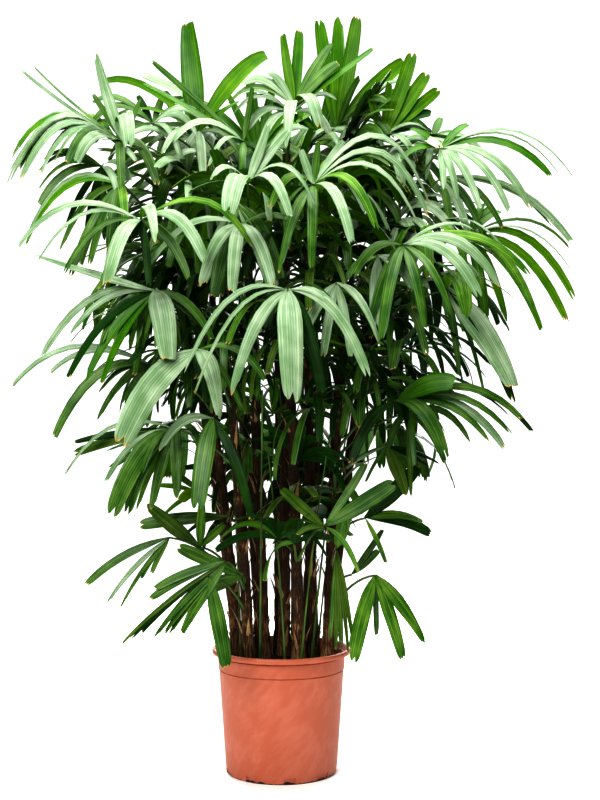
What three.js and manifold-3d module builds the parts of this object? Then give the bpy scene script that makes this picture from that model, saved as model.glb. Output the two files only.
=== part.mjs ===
// Lady palm: a clump of slender canes in a round nursery pot, with palmate fronds on thin stalks.
// Millimetres, +Z up. The origin is the centre of the pot's flat underside; -Y is the front.

import * as THREE from "three";
import { mergeVertices } from "three/addons/utils/BufferGeometryUtils.js";
import Module from "manifold-3d";

// ---- Driving dimensions ----

const CLEARANCE = 0.35; // gap left between touching pieces
const FLATNESS = 0.02; // unevenness that is smoothed away after cutting

const POT = {
  height: 240,
  footRadius: 107,
  collarRadius: 121.5, // outside of the wall where the collar starts
  collarHeight: 201,
  collarStep: 1.2,
  rimRadius: 135,
  rimHeight: 11,
  rimWidth: 8,
  rimRound: 3,
  wall: 3,
  floor: 5,
  sides: 24,
};

const SOIL = { height: 222, edge: 4, sides: 20, fit: 0.995 };

const CANE = {
  footRadius: 12.5,
  tipRadius: 8.5,
  flare: 2.5, // extra radius of the sheathed foot
  flareLength: 0.06, // share of the cane's length over which the flare fades
  sides: 6,
  steps: 4,
  kneeShare: 0.28, // share of the sideways lean reached at half height
};

const STALK = {
  radius: 3.4,
  sides: 3,
  steps: 3,
  arch: 0.2, // how far the stalk bows upwards, as a share of its reach
  slope: 0.5, // rise of a stalk that carries a level blade, as a share of its reach
  lift: 0.01, // change of that slope for each degree its blade rises
  rooted: [0.1, 0.97], // the stretch of a cane that stalks grow from, as shares of its length
};

const BLADE = {
  thickness: 4,
  notch: 0.45, // where leaflets part, as a share of the way from the hub to their shoulders
  shoulder: 0.48, // where a leaflet is widest, as a share of its length
  tipWidth: 0.62, // width of the blunt tip, as a share of the leaflet's width
  mostFall: 0.95, // most bend of a leaflet, as a share of the bend that hangs it plumb
  heel: 5, // how far the blade runs back behind the hub
  edgeBerth: 0.6, // share of a growth that a blade's edges take
  faceBerth: 3.5, // and its faces, which are steep where leaflets hang
  closest: 0.8, // most width of a leaflet, as a share of the way to its neighbour
};

// Each cane: foot on the soil [x, y], then the lean and height of its tip [x, y, z].
const CANES = [
  { foot: [-86, 2], tip: [-175, -15, 960] },
  { foot: [-62, -48], tip: [-100, -115, 800] },
  { foot: [-34, -16], tip: [-70, -60, 1110] },
  { foot: [-40, 50], tip: [-125, 140, 1050] },
  { foot: [-4, 62], tip: [-10, 200, 1130] },
  { foot: [5, 10], tip: [10, 0, 1200] },
  { foot: [34, -50], tip: [12, -135, 880] },
  { foot: [57, -14], tip: [50, -60, 1080] },
  { foot: [90, -22], tip: [122, -60, 940] },
  { foot: [48, 60], tip: [110, 160, 1050] },
  { foot: [92, 34], tip: [205, 40, 1020] },
  { foot: [-88, 52], tip: [-200, 95, 900] },
];

// Each frond, in millimetres and degrees:
// hub: where its leaflets meet.
// aim: heading in plan, from +X towards +Y, then rise above level and roll about its own length.
// fan: angle of the whole fan, then how many leaflets it has.
// leaflet: length, width and droop, which is how far a level leaflet bends down.
const CREST_FRONDS = [
  { hub: [-160, -50, 1235], aim: [110, 82, 0], fan: [230, 5], leaflet: [235, 36, 35] },
  { hub: [25, -100, 1270], aim: [90, 80, 0], fan: [280, 7], leaflet: [185, 30, 40] },
  { hub: [110, 50, 1260], aim: [88, 84, 0], fan: [46, 4], leaflet: [235, 36, 20] },
  { hub: [200, 0, 1235], aim: [60, 74, 0], fan: [130, 6], leaflet: [165, 28, 35] },
  { hub: [-305, -100, 1200], aim: [190, 15, -40], fan: [280, 7], leaflet: [235, 26, 45] },
  { hub: [305, -50, 1200], aim: [-15, 0, -30], fan: [220, 7], leaflet: [270, 28, 45] },
  { hub: [-290, -150, 1195], aim: [178, 48, -80], fan: [44, 3], leaflet: [195, 24, 12] },
];

const BROW_FRONDS = [
  { hub: [60, -260, 1095], aim: [-85, -48, 0], fan: [330, 7], leaflet: [215, 30, 45] },
  { hub: [-245, -250, 1035], aim: [-93, -28, -10], fan: [215, 7], leaflet: [270, 34, 30] },
  { hub: [-295, -150, 1115], aim: [-150, -5, -20], fan: [90, 4], leaflet: [235, 24, 50] },
  { hub: [365, 0, 1040], aim: [-12, -36, -70], fan: [112, 7], leaflet: [270, 28, 50] },
  { hub: [220, -220, 995], aim: [-50, -25, 10], fan: [200, 7], leaflet: [265, 36, 45] },
];

const FRONT_FRONDS = [
  { hub: [15, -330, 905], aim: [-90, -35, 0], fan: [200, 7], leaflet: [250, 38, 62] },
  { hub: [100, -250, 925], aim: [-80, -45, 0], fan: [120, 4], leaflet: [215, 34, 45] },
  { hub: [-225, -200, 915], aim: [-125, -25, -20], fan: [210, 7], leaflet: [255, 36, 40] },
  { hub: [-145, -260, 805], aim: [-118, -42, 0], fan: [80, 3], leaflet: [235, 44, 40] },
  { hub: [310, -120, 925], aim: [-15, -48, 50], fan: [40, 3], leaflet: [235, 44, 25] },
];

const WAIST_FRONDS = [
  { hub: [-235, -100, 780], aim: [-165, 5, -20], fan: [130, 5], leaflet: [270, 28, 55] },
  { hub: [-195, -150, 665], aim: [-140, -15, -10], fan: [200, 7], leaflet: [225, 36, 50] },
  { hub: [-120, -220, 685], aim: [-95, -50, 0], fan: [64, 3], leaflet: [195, 38, 30] },
  { hub: [210, -150, 715], aim: [-40, 5, 5], fan: [210, 7], leaflet: [280, 34, 42] },
  { hub: [240, -80, 695], aim: [-50, -25, 0], fan: [160, 5], leaflet: [150, 30, 45] },
];

const SKIRT_FRONDS = [
  { hub: [-70, -100, 390], aim: [178, 15, -65], fan: [70, 4], leaflet: [130, 30, 20] },
  { hub: [-120, -170, 415], aim: [-150, -25, -20], fan: [140, 7], leaflet: [205, 28, 40] },
  { hub: [-210, -80, 460], aim: [-165, -38, -40], fan: [55, 5], leaflet: [172, 26, 15] },
  { hub: [175, -130, 395], aim: [-70, -65, 0], fan: [85, 6], leaflet: [165, 32, 12] },
  { hub: [80, -190, 490], aim: [-80, -62, 0], fan: [340, 6], leaflet: [150, 26, 12] },
  { hub: [175, -60, 500], aim: [-10, 15, -60], fan: [190, 6], leaflet: [128, 28, 40] },
];

// The back of the crown: tiers of even fronds set round arcs of an ellipse. arc is the headings
// of a tier's first and last frond, and ellipse its half widths and its height.
const BACK_TIERS = {
  back_high: { fronds: 3, arc: [35, 145], ellipse: [210, 190, 1170], rise: 25, spread: 240, length: 225 },
  back_mid: { fronds: 4, arc: [8, 172], ellipse: [330, 290, 960], rise: -12, spread: 220, length: 235 },
  back_low: { fronds: 3, arc: [30, 150], ellipse: [240, 220, 660], rise: -25, spread: 200, length: 205 },
};

const BACK_BLADE = { leaflets: 5, width: 42, droop: 45 };

// Masses of foliage inside the crown: centre and half sizes of an uneven lump.
const MASSES = {
  crown: { centre: [20, 130, 1270], half: [120, 85, 70] },
  heart: { centre: [-10, 30, 1080], half: [120, 115, 95] },
  left: { centre: [-215, 40, 1040], half: [85, 110, 100] },
  right: { centre: [205, 40, 1030], half: [85, 110, 100] },
  back_left: { centre: [-170, 200, 880], half: [100, 75, 100] },
  back_right: { centre: [170, 200, 870], half: [100, 75, 100] },
  low_left: { centre: [-160, 30, 770], half: [70, 85, 95] },
  low_right: { centre: [165, 20, 770], half: [70, 85, 95] },
};

const LUMP = { detail: 1, unevenness: 0.12, waves: 4 };

// How much one leaflet differs from the next.
const VARIETY = {
  angle: 0.15, // share of the even spacing
  length: [0.86, 1.06],
  shorterAside: 0.12, // share of length lost by a leaflet that points straight back
  width: [0.75, 1.15],
  droop: [0.8, 1.2],
};

// ---- Materials ----

const TERRACOTTA_PLASTIC = { color: 0xd26c51, roughness: 0.6, metalness: 0 };
const POTTING_SOIL = { color: 0x24160d, roughness: 0.95, metalness: 0 };
const FIBROUS_CANE = { color: 0x3a2b17, roughness: 0.85, metalness: 0 };
const PALM_LEAF = { color: 0x4d8429, roughness: 0.4, metalness: 0 };
const INNER_LEAF = { color: 0x2b5a1b, roughness: 0.5, metalness: 0 };

// ---- Solids: joining, cutting and naming ----

const wasm = await Module();
wasm.setup();

function solidOf(geometry) {
  geometry.deleteAttribute("normal");
  geometry.deleteAttribute("uv");
  const merged = mergeVertices(geometry, 1e-3);
  const mesh = new wasm.Mesh({
    numProp: 3,
    vertProperties: new Float32Array(merged.attributes.position.array),
    triVerts: new Uint32Array(merged.index.array),
  });
  return new wasm.Manifold(mesh);
}

function cutBy(solid, cutters) {
  return cutters.length ? solid.subtract(wasm.Manifold.union(cutters)) : solid;
}

// A cut can leave loose scraps: only the largest body is kept.
function largestBody(solid) {
  return solid.decompose().reduce((best, body) => (body.volume() > best.volume() ? body : best));
}

function named(name, solid, finish) {
  const mesh = solid.simplify(FLATNESS).getMesh();
  const geometry = new THREE.BufferGeometry();
  geometry.setAttribute("position", new THREE.BufferAttribute(mesh.vertProperties, 3));
  geometry.setIndex(new THREE.BufferAttribute(mesh.triVerts, 1));
  geometry.computeVertexNormals();
  const part = new THREE.Mesh(geometry, new THREE.MeshStandardMaterial(finish));
  part.name = name;
  return part;
}

const radians = THREE.MathUtils.degToRad;
const vector = (place) => new THREE.Vector3(...place);
const range = (count) => Array.from({ length: count }, (_, index) => index);

// A repeatable run of numbers between two limits, one run for each seed.
function numberRun(seed) {
  let state = (seed * 7919 + 12345) % 4294967296;
  return (low, high) => {
    state = (state * 1664525 + 1013904223) % 4294967296;
    return low + ((high - low) * state) / 4294967296;
  };
}

// Moves each vertex of a geometry to where place(vertex) says.
function reshape(geometry, place) {
  const position = geometry.attributes.position;
  const vertex = new THREE.Vector3();
  for (let index = 0; index < position.count; index += 1) {
    vertex.fromBufferAttribute(position, index);
    const moved = place(vertex);
    position.setXYZ(index, moved.x, moved.y, moved.z);
  }
  return geometry;
}

// ---- Pot and soil ----

// Inside radius of the pot's tapering wall at a height.
function potInside(z) {
  const taper = (POT.collarRadius - POT.footRadius) / POT.collarHeight;
  return POT.footRadius + taper * z - POT.wall;
}

function lathe(profile, sides) {
  const points = profile.map(([radius, z]) => new THREE.Vector2(radius, z));
  return solidOf(new THREE.LatheGeometry(points, sides).rotateX(Math.PI / 2));
}

function potSolid() {
  const collar = POT.collarRadius + POT.collarStep;
  const underRim = POT.height - POT.rimHeight;
  const profile = [
    [0, 0],
    [POT.footRadius, 0],
    [POT.collarRadius, POT.collarHeight],
    [collar, POT.collarHeight + 1],
    [collar + 1, underRim],
    [POT.rimRadius - POT.rimRound / 2, underRim],
    [POT.rimRadius, underRim + POT.rimRound],
    [POT.rimRadius, POT.height - POT.rimRound],
    [POT.rimRadius - POT.rimRound, POT.height],
    [POT.rimRadius - POT.rimWidth, POT.height],
    [potInside(SOIL.height), SOIL.height - SOIL.edge],
    [potInside(POT.floor), POT.floor],
    [0, POT.floor],
  ];
  return lathe(profile, POT.sides);
}

function soilSolid() {
  const bottom = POT.floor + CLEARANCE;
  const fit = Math.cos(Math.PI / SOIL.sides) * SOIL.fit; // inside the pot's flat-sided wall
  const top = SOIL.height - SOIL.edge;
  const profile = [
    [0, bottom],
    [potInside(bottom) * fit, bottom],
    [potInside(top) * fit, top],
    [potInside(top) * fit - SOIL.edge, SOIL.height],
    [0, SOIL.height],
  ];
  return lathe(profile, SOIL.sides);
}

// ---- Canes ----

function caneCurve(cane) {
  const foot = new THREE.Vector3(cane.foot[0], cane.foot[1], SOIL.height + CLEARANCE);
  const tip = vector(cane.tip);
  const knee = foot.clone().lerp(tip, CANE.kneeShare);
  knee.z = (foot.z + tip.z) / 2;
  return new THREE.QuadraticBezierCurve3(foot, knee, tip);
}

// A tapering cane whose sections stay level, so it has a flat cut at the soil.
function caneSolid(cane, grow = 0) {
  const curve = caneCurve(cane);
  const rod = new THREE.CylinderGeometry(1, 1, 1, CANE.sides, CANE.steps).rotateX(Math.PI / 2);
  return solidOf(
    reshape(rod, (vertex) => {
      const share = vertex.z + 0.5;
      const flare = CANE.flare * Math.exp(-share / CANE.flareLength);
      const radius = THREE.MathUtils.lerp(CANE.footRadius, CANE.tipRadius, share) + flare + grow;
      const ends = grow * Math.sign(vertex.z) * (Math.abs(vertex.z) > 0.49 ? 1 : 0);
      const middle = curve.getPoint(share);
      return middle.add(new THREE.Vector3(vertex.x * radius, vertex.y * radius, ends));
    }),
  );
}

// The point of a cane at a height, kept to the stretch that stalks grow from.
function canePoint(cane, z) {
  const curve = caneCurve(cane);
  const share = (z - curve.v0.z) / (curve.v2.z - curve.v0.z);
  return curve.getPoint(THREE.MathUtils.clamp(share, ...STALK.rooted));
}

// ---- Fronds ----

// forward runs out along the middle of the fan, side across it, and face stands up from it.
function bladeFrame(frond) {
  const heading = radians(frond.heading);
  const rise = radians(frond.rise);
  const forward = new THREE.Vector3(
    Math.cos(heading) * Math.cos(rise),
    Math.sin(heading) * Math.cos(rise),
    Math.sin(rise),
  );
  const level = new THREE.Vector3(-Math.sin(heading), Math.cos(heading), 0);
  const side = level.applyAxisAngle(forward, radians(frond.roll));
  return { forward, side, face: forward.clone().cross(side) };
}

function leafletsOf(frond) {
  const { forward, side, face } = bladeFrame(frond);
  const random = numberRun(frond.seed);
  const step = radians(frond.spread) / (frond.leaflets - 1);
  return range(frond.leaflets).map((index) => {
    const even = (index - (frond.leaflets - 1) / 2) * step;
    const angle = even + random(-VARIETY.angle, VARIETY.angle) * step;
    const aside = 1 - (VARIETY.shorterAside * Math.abs(angle)) / Math.PI;
    const length = frond.length * random(...VARIETY.length) * aside;
    const width = frond.width * random(...VARIETY.width);
    const droop = radians(frond.droop) * random(...VARIETY.droop);
    const start = forward.clone().multiplyScalar(Math.cos(angle));
    start.addScaledVector(side, Math.sin(angle));
    return { length, width, droop, start, across: face.clone().cross(start) };
  });
}

// Where a point of a flat leaflet lies once the leaflet has bent down in an even arc.
function bend(leaflet, hub, along, aside) {
  const start = leaflet.start;
  const fall = new THREE.Vector3(0, 0, -1).addScaledVector(start, start.z).normalize();
  const slack = Math.sqrt(1 - start.z * start.z);
  const turn = Math.min(leaflet.droop * slack, BLADE.mostFall * Math.acos(-start.z));
  const radius = leaflet.length / turn;
  const angle = along / radius;
  const place = hub.clone();
  place.addScaledVector(start, radius * Math.sin(angle));
  place.addScaledVector(fall, radius * (1 - Math.cos(angle)));
  return place.addScaledVector(leaflet.across, aside);
}

// Neighbours that close up as they hang are narrowed until they stay apart.
function roomFor(leaflet, neighbours, hub) {
  const gaps = neighbours.flatMap((other) => {
    const apart = (share) => {
      const place = bend(leaflet, hub, share * leaflet.length, 0);
      return place.distanceTo(bend(other, hub, share * other.length, 0));
    };
    return [apart(BLADE.shoulder), apart(1) / BLADE.tipWidth];
  });
  return BLADE.closest * Math.min(...gaps);
}

// The edge of the fan: its heel, then each leaflet's shoulders and blunt tip, with a notch
// between neighbours. grow moves every point outwards.
function fanEdge(frond, leaflets, grow) {
  const hub = vector(frond.hub);
  const { forward, side } = bladeFrame(frond);
  const heel = (aside) => {
    const place = hub.clone().addScaledVector(forward, -BLADE.heel - grow);
    return place.addScaledVector(side, aside);
  };
  const edge = leaflets.flatMap((leaflet, index) => {
    const { length } = leaflet;
    const neighbours = [leaflets[index - 1], leaflets[index + 1]].filter(Boolean);
    const half = Math.min(leaflet.width, roomFor(leaflet, neighbours, hub)) / 2 + grow;
    const end = half * BLADE.tipWidth;
    const points = [
      bend(leaflet, hub, BLADE.shoulder * length, -half),
      bend(leaflet, hub, length + grow, -end),
      bend(leaflet, hub, length + grow, end),
      bend(leaflet, hub, BLADE.shoulder * length, half),
    ];
    const next = leaflets[index + 1];
    if (next) {
      const middle = bend(leaflet, hub, BLADE.shoulder * length, 0);
      middle.lerp(bend(next, hub, BLADE.shoulder * next.length, 0), 0.5).sub(hub);
      const notch = BLADE.notch * middle.length() + grow;
      points.push(hub.clone().addScaledVector(middle.normalize(), notch));
    }
    return points;
  });
  return [heel(BLADE.heel + grow), heel(-BLADE.heel - grow), ...edge];
}

// A thin blade of the fan's outline, which rises and falls with its leaflets.
function bladeSolid(frond, grow = 0) {
  const { forward, side, face } = bladeFrame(frond);
  const hub = vector(frond.hub);
  const leaflets = leafletsOf(frond);
  const grown = fanEdge(frond, leaflets, BLADE.edgeBerth * grow);
  const corners = fanEdge(frond, leaflets, 0).map((place) => {
    place.sub(hub);
    return new THREE.Vector2(place.dot(forward), place.dot(side));
  });
  const settings = { depth: BLADE.thickness, bevelEnabled: false, steps: 1 };
  const flat = new THREE.ExtrudeGeometry(new THREE.Shape(corners), settings);
  return solidOf(
    reshape(flat, ({ x, y, z }) => {
      const reach = corners.map((corner) => Math.hypot(corner.x - x, corner.y - y));
      const corner = reach.indexOf(Math.min(...reach));
      const proud = z - BLADE.thickness / 2;
      return grown[corner].clone().addScaledVector(face, proud + Math.sign(proud) * BLADE.faceBerth * grow);
    }),
  );
}

// A stalk leaves the nearest cane below its blade, or above a blade that hangs.
function stalkCurve(frond) {
  const hub = vector(frond.hub);
  const roots = CANES.map((cane) => {
    const reach = canePoint(cane, hub.z).setZ(hub.z).distanceTo(hub);
    const root = canePoint(cane, hub.z - reach * (STALK.slope + STALK.lift * frond.rise));
    return { root, reach: root.distanceTo(hub) };
  });
  const { root, reach } = roots.reduce((best, next) => (next.reach < best.reach ? next : best));
  const crown = root.clone().lerp(hub, 0.5);
  crown.z += STALK.arch * reach;
  return new THREE.QuadraticBezierCurve3(root, crown, hub);
}

function stalkSolid(frond, grow = 0) {
  const radius = STALK.radius + 2 * grow; // a triangle's sides move by half its corners' growth
  const corner = (index) => (2 * Math.PI * index) / STALK.sides;
  const section = new THREE.Shape(
    range(STALK.sides).map((index) => {
      return new THREE.Vector2(radius * Math.cos(corner(index)), radius * Math.sin(corner(index)));
    }),
  );
  const settings = { steps: STALK.steps, extrudePath: stalkCurve(frond), bevelEnabled: false };
  return solidOf(new THREE.ExtrudeGeometry(section, settings));
}

// ---- Masses of foliage ----

function lumpSolid({ centre, half }, seed, grow = 0) {
  const ball = new THREE.IcosahedronGeometry(1, LUMP.detail);
  return solidOf(
    reshape(ball, (vertex) => {
      const wave = Math.sin(LUMP.waves * vertex.x + seed) + Math.sin(LUMP.waves * vertex.z - seed);
      const swell = 1 + (LUMP.unevenness * (wave + Math.sin(LUMP.waves * vertex.y + 2 * seed))) / 2;
      return new THREE.Vector3(
        centre[0] + vertex.x * (half[0] * swell + grow),
        centre[1] + vertex.y * (half[1] * swell + grow),
        centre[2] + vertex.z * (half[2] * swell + grow),
      );
    }),
  );
}

// ---- The list of fronds ----

function namedFronds(tier, rows) {
  return rows.map(({ hub, aim, fan, leaflet }, index) => {
    const [heading, rise, roll] = aim;
    const [spread, leaflets] = fan;
    const [length, width, droop] = leaflet;
    const name = `frond_${tier}_${index + 1}`;
    return { name, hub, heading, rise, roll, spread, leaflets, length, width, droop };
  });
}

function backFronds(tier, { fronds, arc, ellipse, rise, spread, length }) {
  return range(fronds).map((index) => {
    const heading = THREE.MathUtils.lerp(arc[0], arc[1], index / (fronds - 1));
    const turn = radians(heading);
    const hub = [ellipse[0] * Math.cos(turn), ellipse[1] * Math.sin(turn), ellipse[2]];
    const name = `frond_${tier}_${index + 1}`;
    return { ...BACK_BLADE, name, hub, heading, rise, roll: 0, spread, length };
  });
}

const FRONDS = [
  ...namedFronds("crest", CREST_FRONDS),
  ...namedFronds("brow", BROW_FRONDS),
  ...namedFronds("front", FRONT_FRONDS),
  ...namedFronds("waist", WAIST_FRONDS),
  ...namedFronds("skirt", SKIRT_FRONDS),
  ...Object.entries(BACK_TIERS).flatMap(([tier, ring]) => backFronds(tier, ring)),
].map((frond, index) => ({ ...frond, seed: index + 1 }));

// ---- Assembly ----

const palm = new THREE.Group();

function addPot() {
  palm.add(named("pot", potSolid(), TERRACOTTA_PLASTIC));
  palm.add(named("soil", soilSolid(), POTTING_SOIL));
}

function addCanes() {
  CANES.forEach((cane, index) => {
    palm.add(named(`cane_${index + 1}`, caneSolid(cane), FIBROUS_CANE));
  });
  return CANES.map((cane) => caneSolid(cane, CLEARANCE));
}

// Masses are cut round the canes, and each round the ones before it.
function addMasses(canes) {
  const taken = [];
  Object.entries(MASSES).forEach(([name, mass], index) => {
    const lump = cutBy(lumpSolid(mass, index), [...canes, ...taken]);
    palm.add(named(`foliage_${name}`, largestBody(lump), INNER_LEAF));
    taken.push(lumpSolid(mass, index, CLEARANCE));
  });
  return taken;
}

// Fronds end where they enter a cane or a mass. A blade gives way to every stalk and to the
// blades before it.
function addFronds(obstacles) {
  const stalks = FRONDS.map((frond) => stalkSolid(frond, CLEARANCE));
  const blades = [];
  FRONDS.forEach((frond, index) => {
    const stalk = cutBy(stalkSolid(frond), [...obstacles, ...stalks.slice(0, index)]);
    const others = stalks.filter((_, other) => other !== index);
    const blade = cutBy(bladeSolid(frond), [...obstacles, ...others, ...blades]);
    palm.add(named(frond.name, largestBody(stalk.add(blade)), PALM_LEAF));
    blades.push(bladeSolid(frond), bladeSolid(frond, CLEARANCE));
  });
}

addPot();
const canes = addCanes();
const masses = addMasses(canes);
addFronds([...canes, ...masses, potSolid()]);

export default palm;
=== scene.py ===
"""A lady palm in a round nursery pot, laid out as an add-on and run as a script."""

import math

import bmesh
import bpy
from bpy.props import FloatProperty, FloatVectorProperty, IntProperty, PointerProperty
from bpy.types import Operator, Panel, PropertyGroup
from mathutils import Matrix, Vector, noise


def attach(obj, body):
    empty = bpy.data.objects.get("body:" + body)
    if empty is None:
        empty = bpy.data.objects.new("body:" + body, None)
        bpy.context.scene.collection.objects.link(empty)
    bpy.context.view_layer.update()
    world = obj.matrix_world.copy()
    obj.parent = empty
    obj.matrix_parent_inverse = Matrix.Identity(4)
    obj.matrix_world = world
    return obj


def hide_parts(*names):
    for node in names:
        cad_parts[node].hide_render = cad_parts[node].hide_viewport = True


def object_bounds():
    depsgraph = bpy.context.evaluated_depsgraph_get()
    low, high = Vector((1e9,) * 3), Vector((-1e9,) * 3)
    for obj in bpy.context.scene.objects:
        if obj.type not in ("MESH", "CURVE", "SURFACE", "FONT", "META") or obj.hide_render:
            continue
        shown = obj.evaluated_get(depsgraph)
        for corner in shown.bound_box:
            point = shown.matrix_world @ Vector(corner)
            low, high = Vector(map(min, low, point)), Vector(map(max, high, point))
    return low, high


bl_info = {
    "name": "Lady palm in a pot",
    "version": (1, 0, 0),
    "blender": (4, 5, 0),
    "location": "3D View > Sidebar > Palm",
    "description": "Makes a lady palm, its nursery pot and a plain studio",
    "category": "Add Mesh",
}

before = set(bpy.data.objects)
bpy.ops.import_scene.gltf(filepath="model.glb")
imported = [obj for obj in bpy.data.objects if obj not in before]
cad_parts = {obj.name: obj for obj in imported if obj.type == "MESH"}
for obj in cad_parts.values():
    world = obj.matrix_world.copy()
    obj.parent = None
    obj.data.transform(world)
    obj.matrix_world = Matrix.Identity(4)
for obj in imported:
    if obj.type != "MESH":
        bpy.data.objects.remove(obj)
CAD_BOX = [list(corner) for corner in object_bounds()]

MM = 0.001
SOIL_LEVEL = 222.35  # where the canes meet the soil, mm

# ---- The plant's limbs and fans, in millimetres and degrees ----

# Each cane: foot on the soil [x, y], then its tip [x, y, z].
CANES = (
    ((-86, 2), (-175, -15, 960)),
    ((-62, -48), (-100, -115, 800)),
    ((-34, -16), (-70, -60, 1110)),
    ((-40, 50), (-125, 140, 1050)),
    ((-4, 62), (-10, 200, 1130)),
    ((5, 10), (10, 0, 1200)),
    ((34, -50), (12, -135, 880)),
    ((57, -14), (50, -60, 1080)),
    ((90, -22), (122, -60, 940)),
    ((48, 60), (110, 160, 1050)),
    ((92, 34), (205, 40, 1020)),
    ((-88, 52), (-200, 95, 900)),
)

# The fronds that show from the front, tier by tier. Each frond is the place where its leaflets meet,
# then its sprays. A spray is the green of its leaflets, the reach of the first and of the last from
# that place, how many there are, their width, how high they arch over a straight line as a share of
# how far out they reach, and whether their undersides face the front. A lone leaflet has one reach.
# The green of a spray is painted light and shade: paler where it stands for sheen or light, darker
# where it stands for shade.
UNDER = True
CREST_FRONDS = (
    ((-160, -50, 1235), (
        ("fresh", (-20, 0, 215), 44, 0.0, UNDER),
        ("fresh", (130, 20, 150), 31, 0.5, UNDER),
        ("fresh", (-185, -10, 92), (-100, 0, -15), 3, 16, 0.4, UNDER),
        ("fresh", (15, -60, -97), (-60, -80, -60), 2, 18, 0.5),
    )),
    ((25, -100, 1270), (
        ("fresh", (-22, 20, 145), (12, 40, 163), 2, 18, 0.0, UNDER),
        ("pale", (72, 20, 131), (84, 0, 80), 2, 25, 0.3),
        ("fresh", (148, 0, 109), 13, 0.1, UNDER),
        ("pale", (-50, 0, 62), (-130, -20, -10), 3, 18, 0.7),
        ("pale", (-25, -110, -109), (50, -80, -60), 2, 26, 0.8),
    )),
    ((110, 50, 1260), (
        ("fresh", (-36, 30, 226), (44, 0, 224), 3, 29, 0.0, UNDER),
        ("fresh", (143, 40, 151), (175, 0, 75), 2, 34, 0.25, UNDER),
        ("pale", (145, 20, 100), (-77, -60, -73), 2, 10, 0.5),
        ("mid", (40, -40, 90), (110, -60, -40), 3, 18, 0.6),
    )),
    ((200, 0, 1235), (
        ("fresh", (55, 0, 160), (107, 0, 88), 3, 24, 0.1, UNDER),
        ("mid", (95, 0, 45), (100, 0, 5), 2, 22, 0.3, UNDER),
        ("fresh", (-30, 10, 88), (10, 0, 105), 2, 18, 0.1, UNDER),
        ("pale", (82, 0, 16), (60, -60, -60), 2, 18, 0.6),
    )),
    ((-305, -100, 1200), (
        ("pale", (-216, 30, -30), (-214, 0, -83), 3, 12, 0.7),
        ("fresh", (-206, 20, -15), (-184, 0, -49), 2, 17, 0.7, UNDER),
        ("pale", (-135, -20, -39), (-68, -70, -47), 4, 19, 0.8),
        ("pale", (-222, -20, -95), (-140, -40, -62), 3, 17, 0.75),
        ("pale", (36, -130, -32), 27, 0.9),
        ("pale", (19, -100, -103), (84, -60, -92), 2, 17, 0.7),
        ("mid", (98, 20, 8), (-100, 30, 40), 3, 15, 0.6),
    )),
    ((305, -50, 1200), (
        ("fresh", (214, 0, -55), 16, 0.45, UNDER),
        ("pale", (233, 20, -46), (254, 10, -52), 2, 8, 0.45),
        ("pale", (170, -40, -124), (0, -60, -90), 5, 16, 0.5),
        ("deep", (54, 10, 20), (60, 30, 60), 2, 16, 0.4, UNDER),
        ("mid", (-75, -20, -27), (-60, 0, 40), 2, 17, 0.4, UNDER),
    )),
    ((-290, -150, 1195), (
        ("pale", (-53, 20, 171), 20, 0.0),
        ("pale", (-193, 0, 134), (-167, 0, 142), 2, 6, 0.0),
        ("mid", (-60, 20, 90), (40, 20, 80), 2, 13, 0.2),
    )),
)
BROW_FRONDS = (
    ((60, -260, 1095), (
        ("pale", (-25, 10, 69), (54, 20, 84), 3, 14, 0.3),
        ("pale", (214, 50, -32), (176, -40, -76), 3, 14, 0.9),
        ("pale", (67, -120, -123), (-63, -90, -170), 3, 20, 0.6),
        ("fresh", (110, -80, -90), (-80, -60, -50), 2, 16, 0.7),
    )),
    ((-245, -250, 1035), (
        ("pale", (-224, 0, -42), (-134, 0, -92), 3, 12, 0.55),
        ("mid", (-76, 0, -122), 13, 0.5),
        ("pale", (-44, -110, -122), 28, 0.6),
        ("pale", (39, -120, -56), (118, -80, -81), 2, 20, 0.7),
        ("fresh", (199, -20, -51), 12, 0.6),
        ("mid", (20, -50, -120), (90, -40, -110), 2, 15, 0.5),
    )),
    ((-295, -150, 1115), (
        ("pale", (-173, 20, -97), 14, 0.6),
        ("fresh", (-176, 0, -110), 21, 0.6, UNDER),
        ("mid", (-90, -20, -169), (22, -90, -101), 4, 16, 0.5),
        ("deep", (-120, 30, -120), (-20, 0, -160), 3, 16, 0.5),
    )),
    ((365, 0, 1040), (
        ("fresh", (242, 0, -138), (25, -40, -164), 5, 18, 0.5, UNDER),
        ("pale", (250, 0, -94), (226, 20, -27), 2, 7, 0.45),
        ("mid", (70, 30, 52), (35, 40, 74), 3, 17, 0.3, UNDER),
        ("olive", (-125, 0, 103), 22, 0.2, UNDER),
        ("fresh", (120, -60, -150), (-40, -60, -120), 3, 16, 0.5),
    )),
    ((220, -220, 995), (
        ("mid", (221, 0, -52), 20, 0.42),
        ("pale", (178, -30, -84), (130, -50, -96), 2, 20, 0.5),
        ("pale", (127, 20, 30), 9, 0.4),
        ("mid", (79, -80, -132), (-45, -100, -177), 3, 21, 0.5),
        ("mid", (-90, -60, -60), (-60, -40, -140), 2, 16, 0.5),
    )),
)
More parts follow.
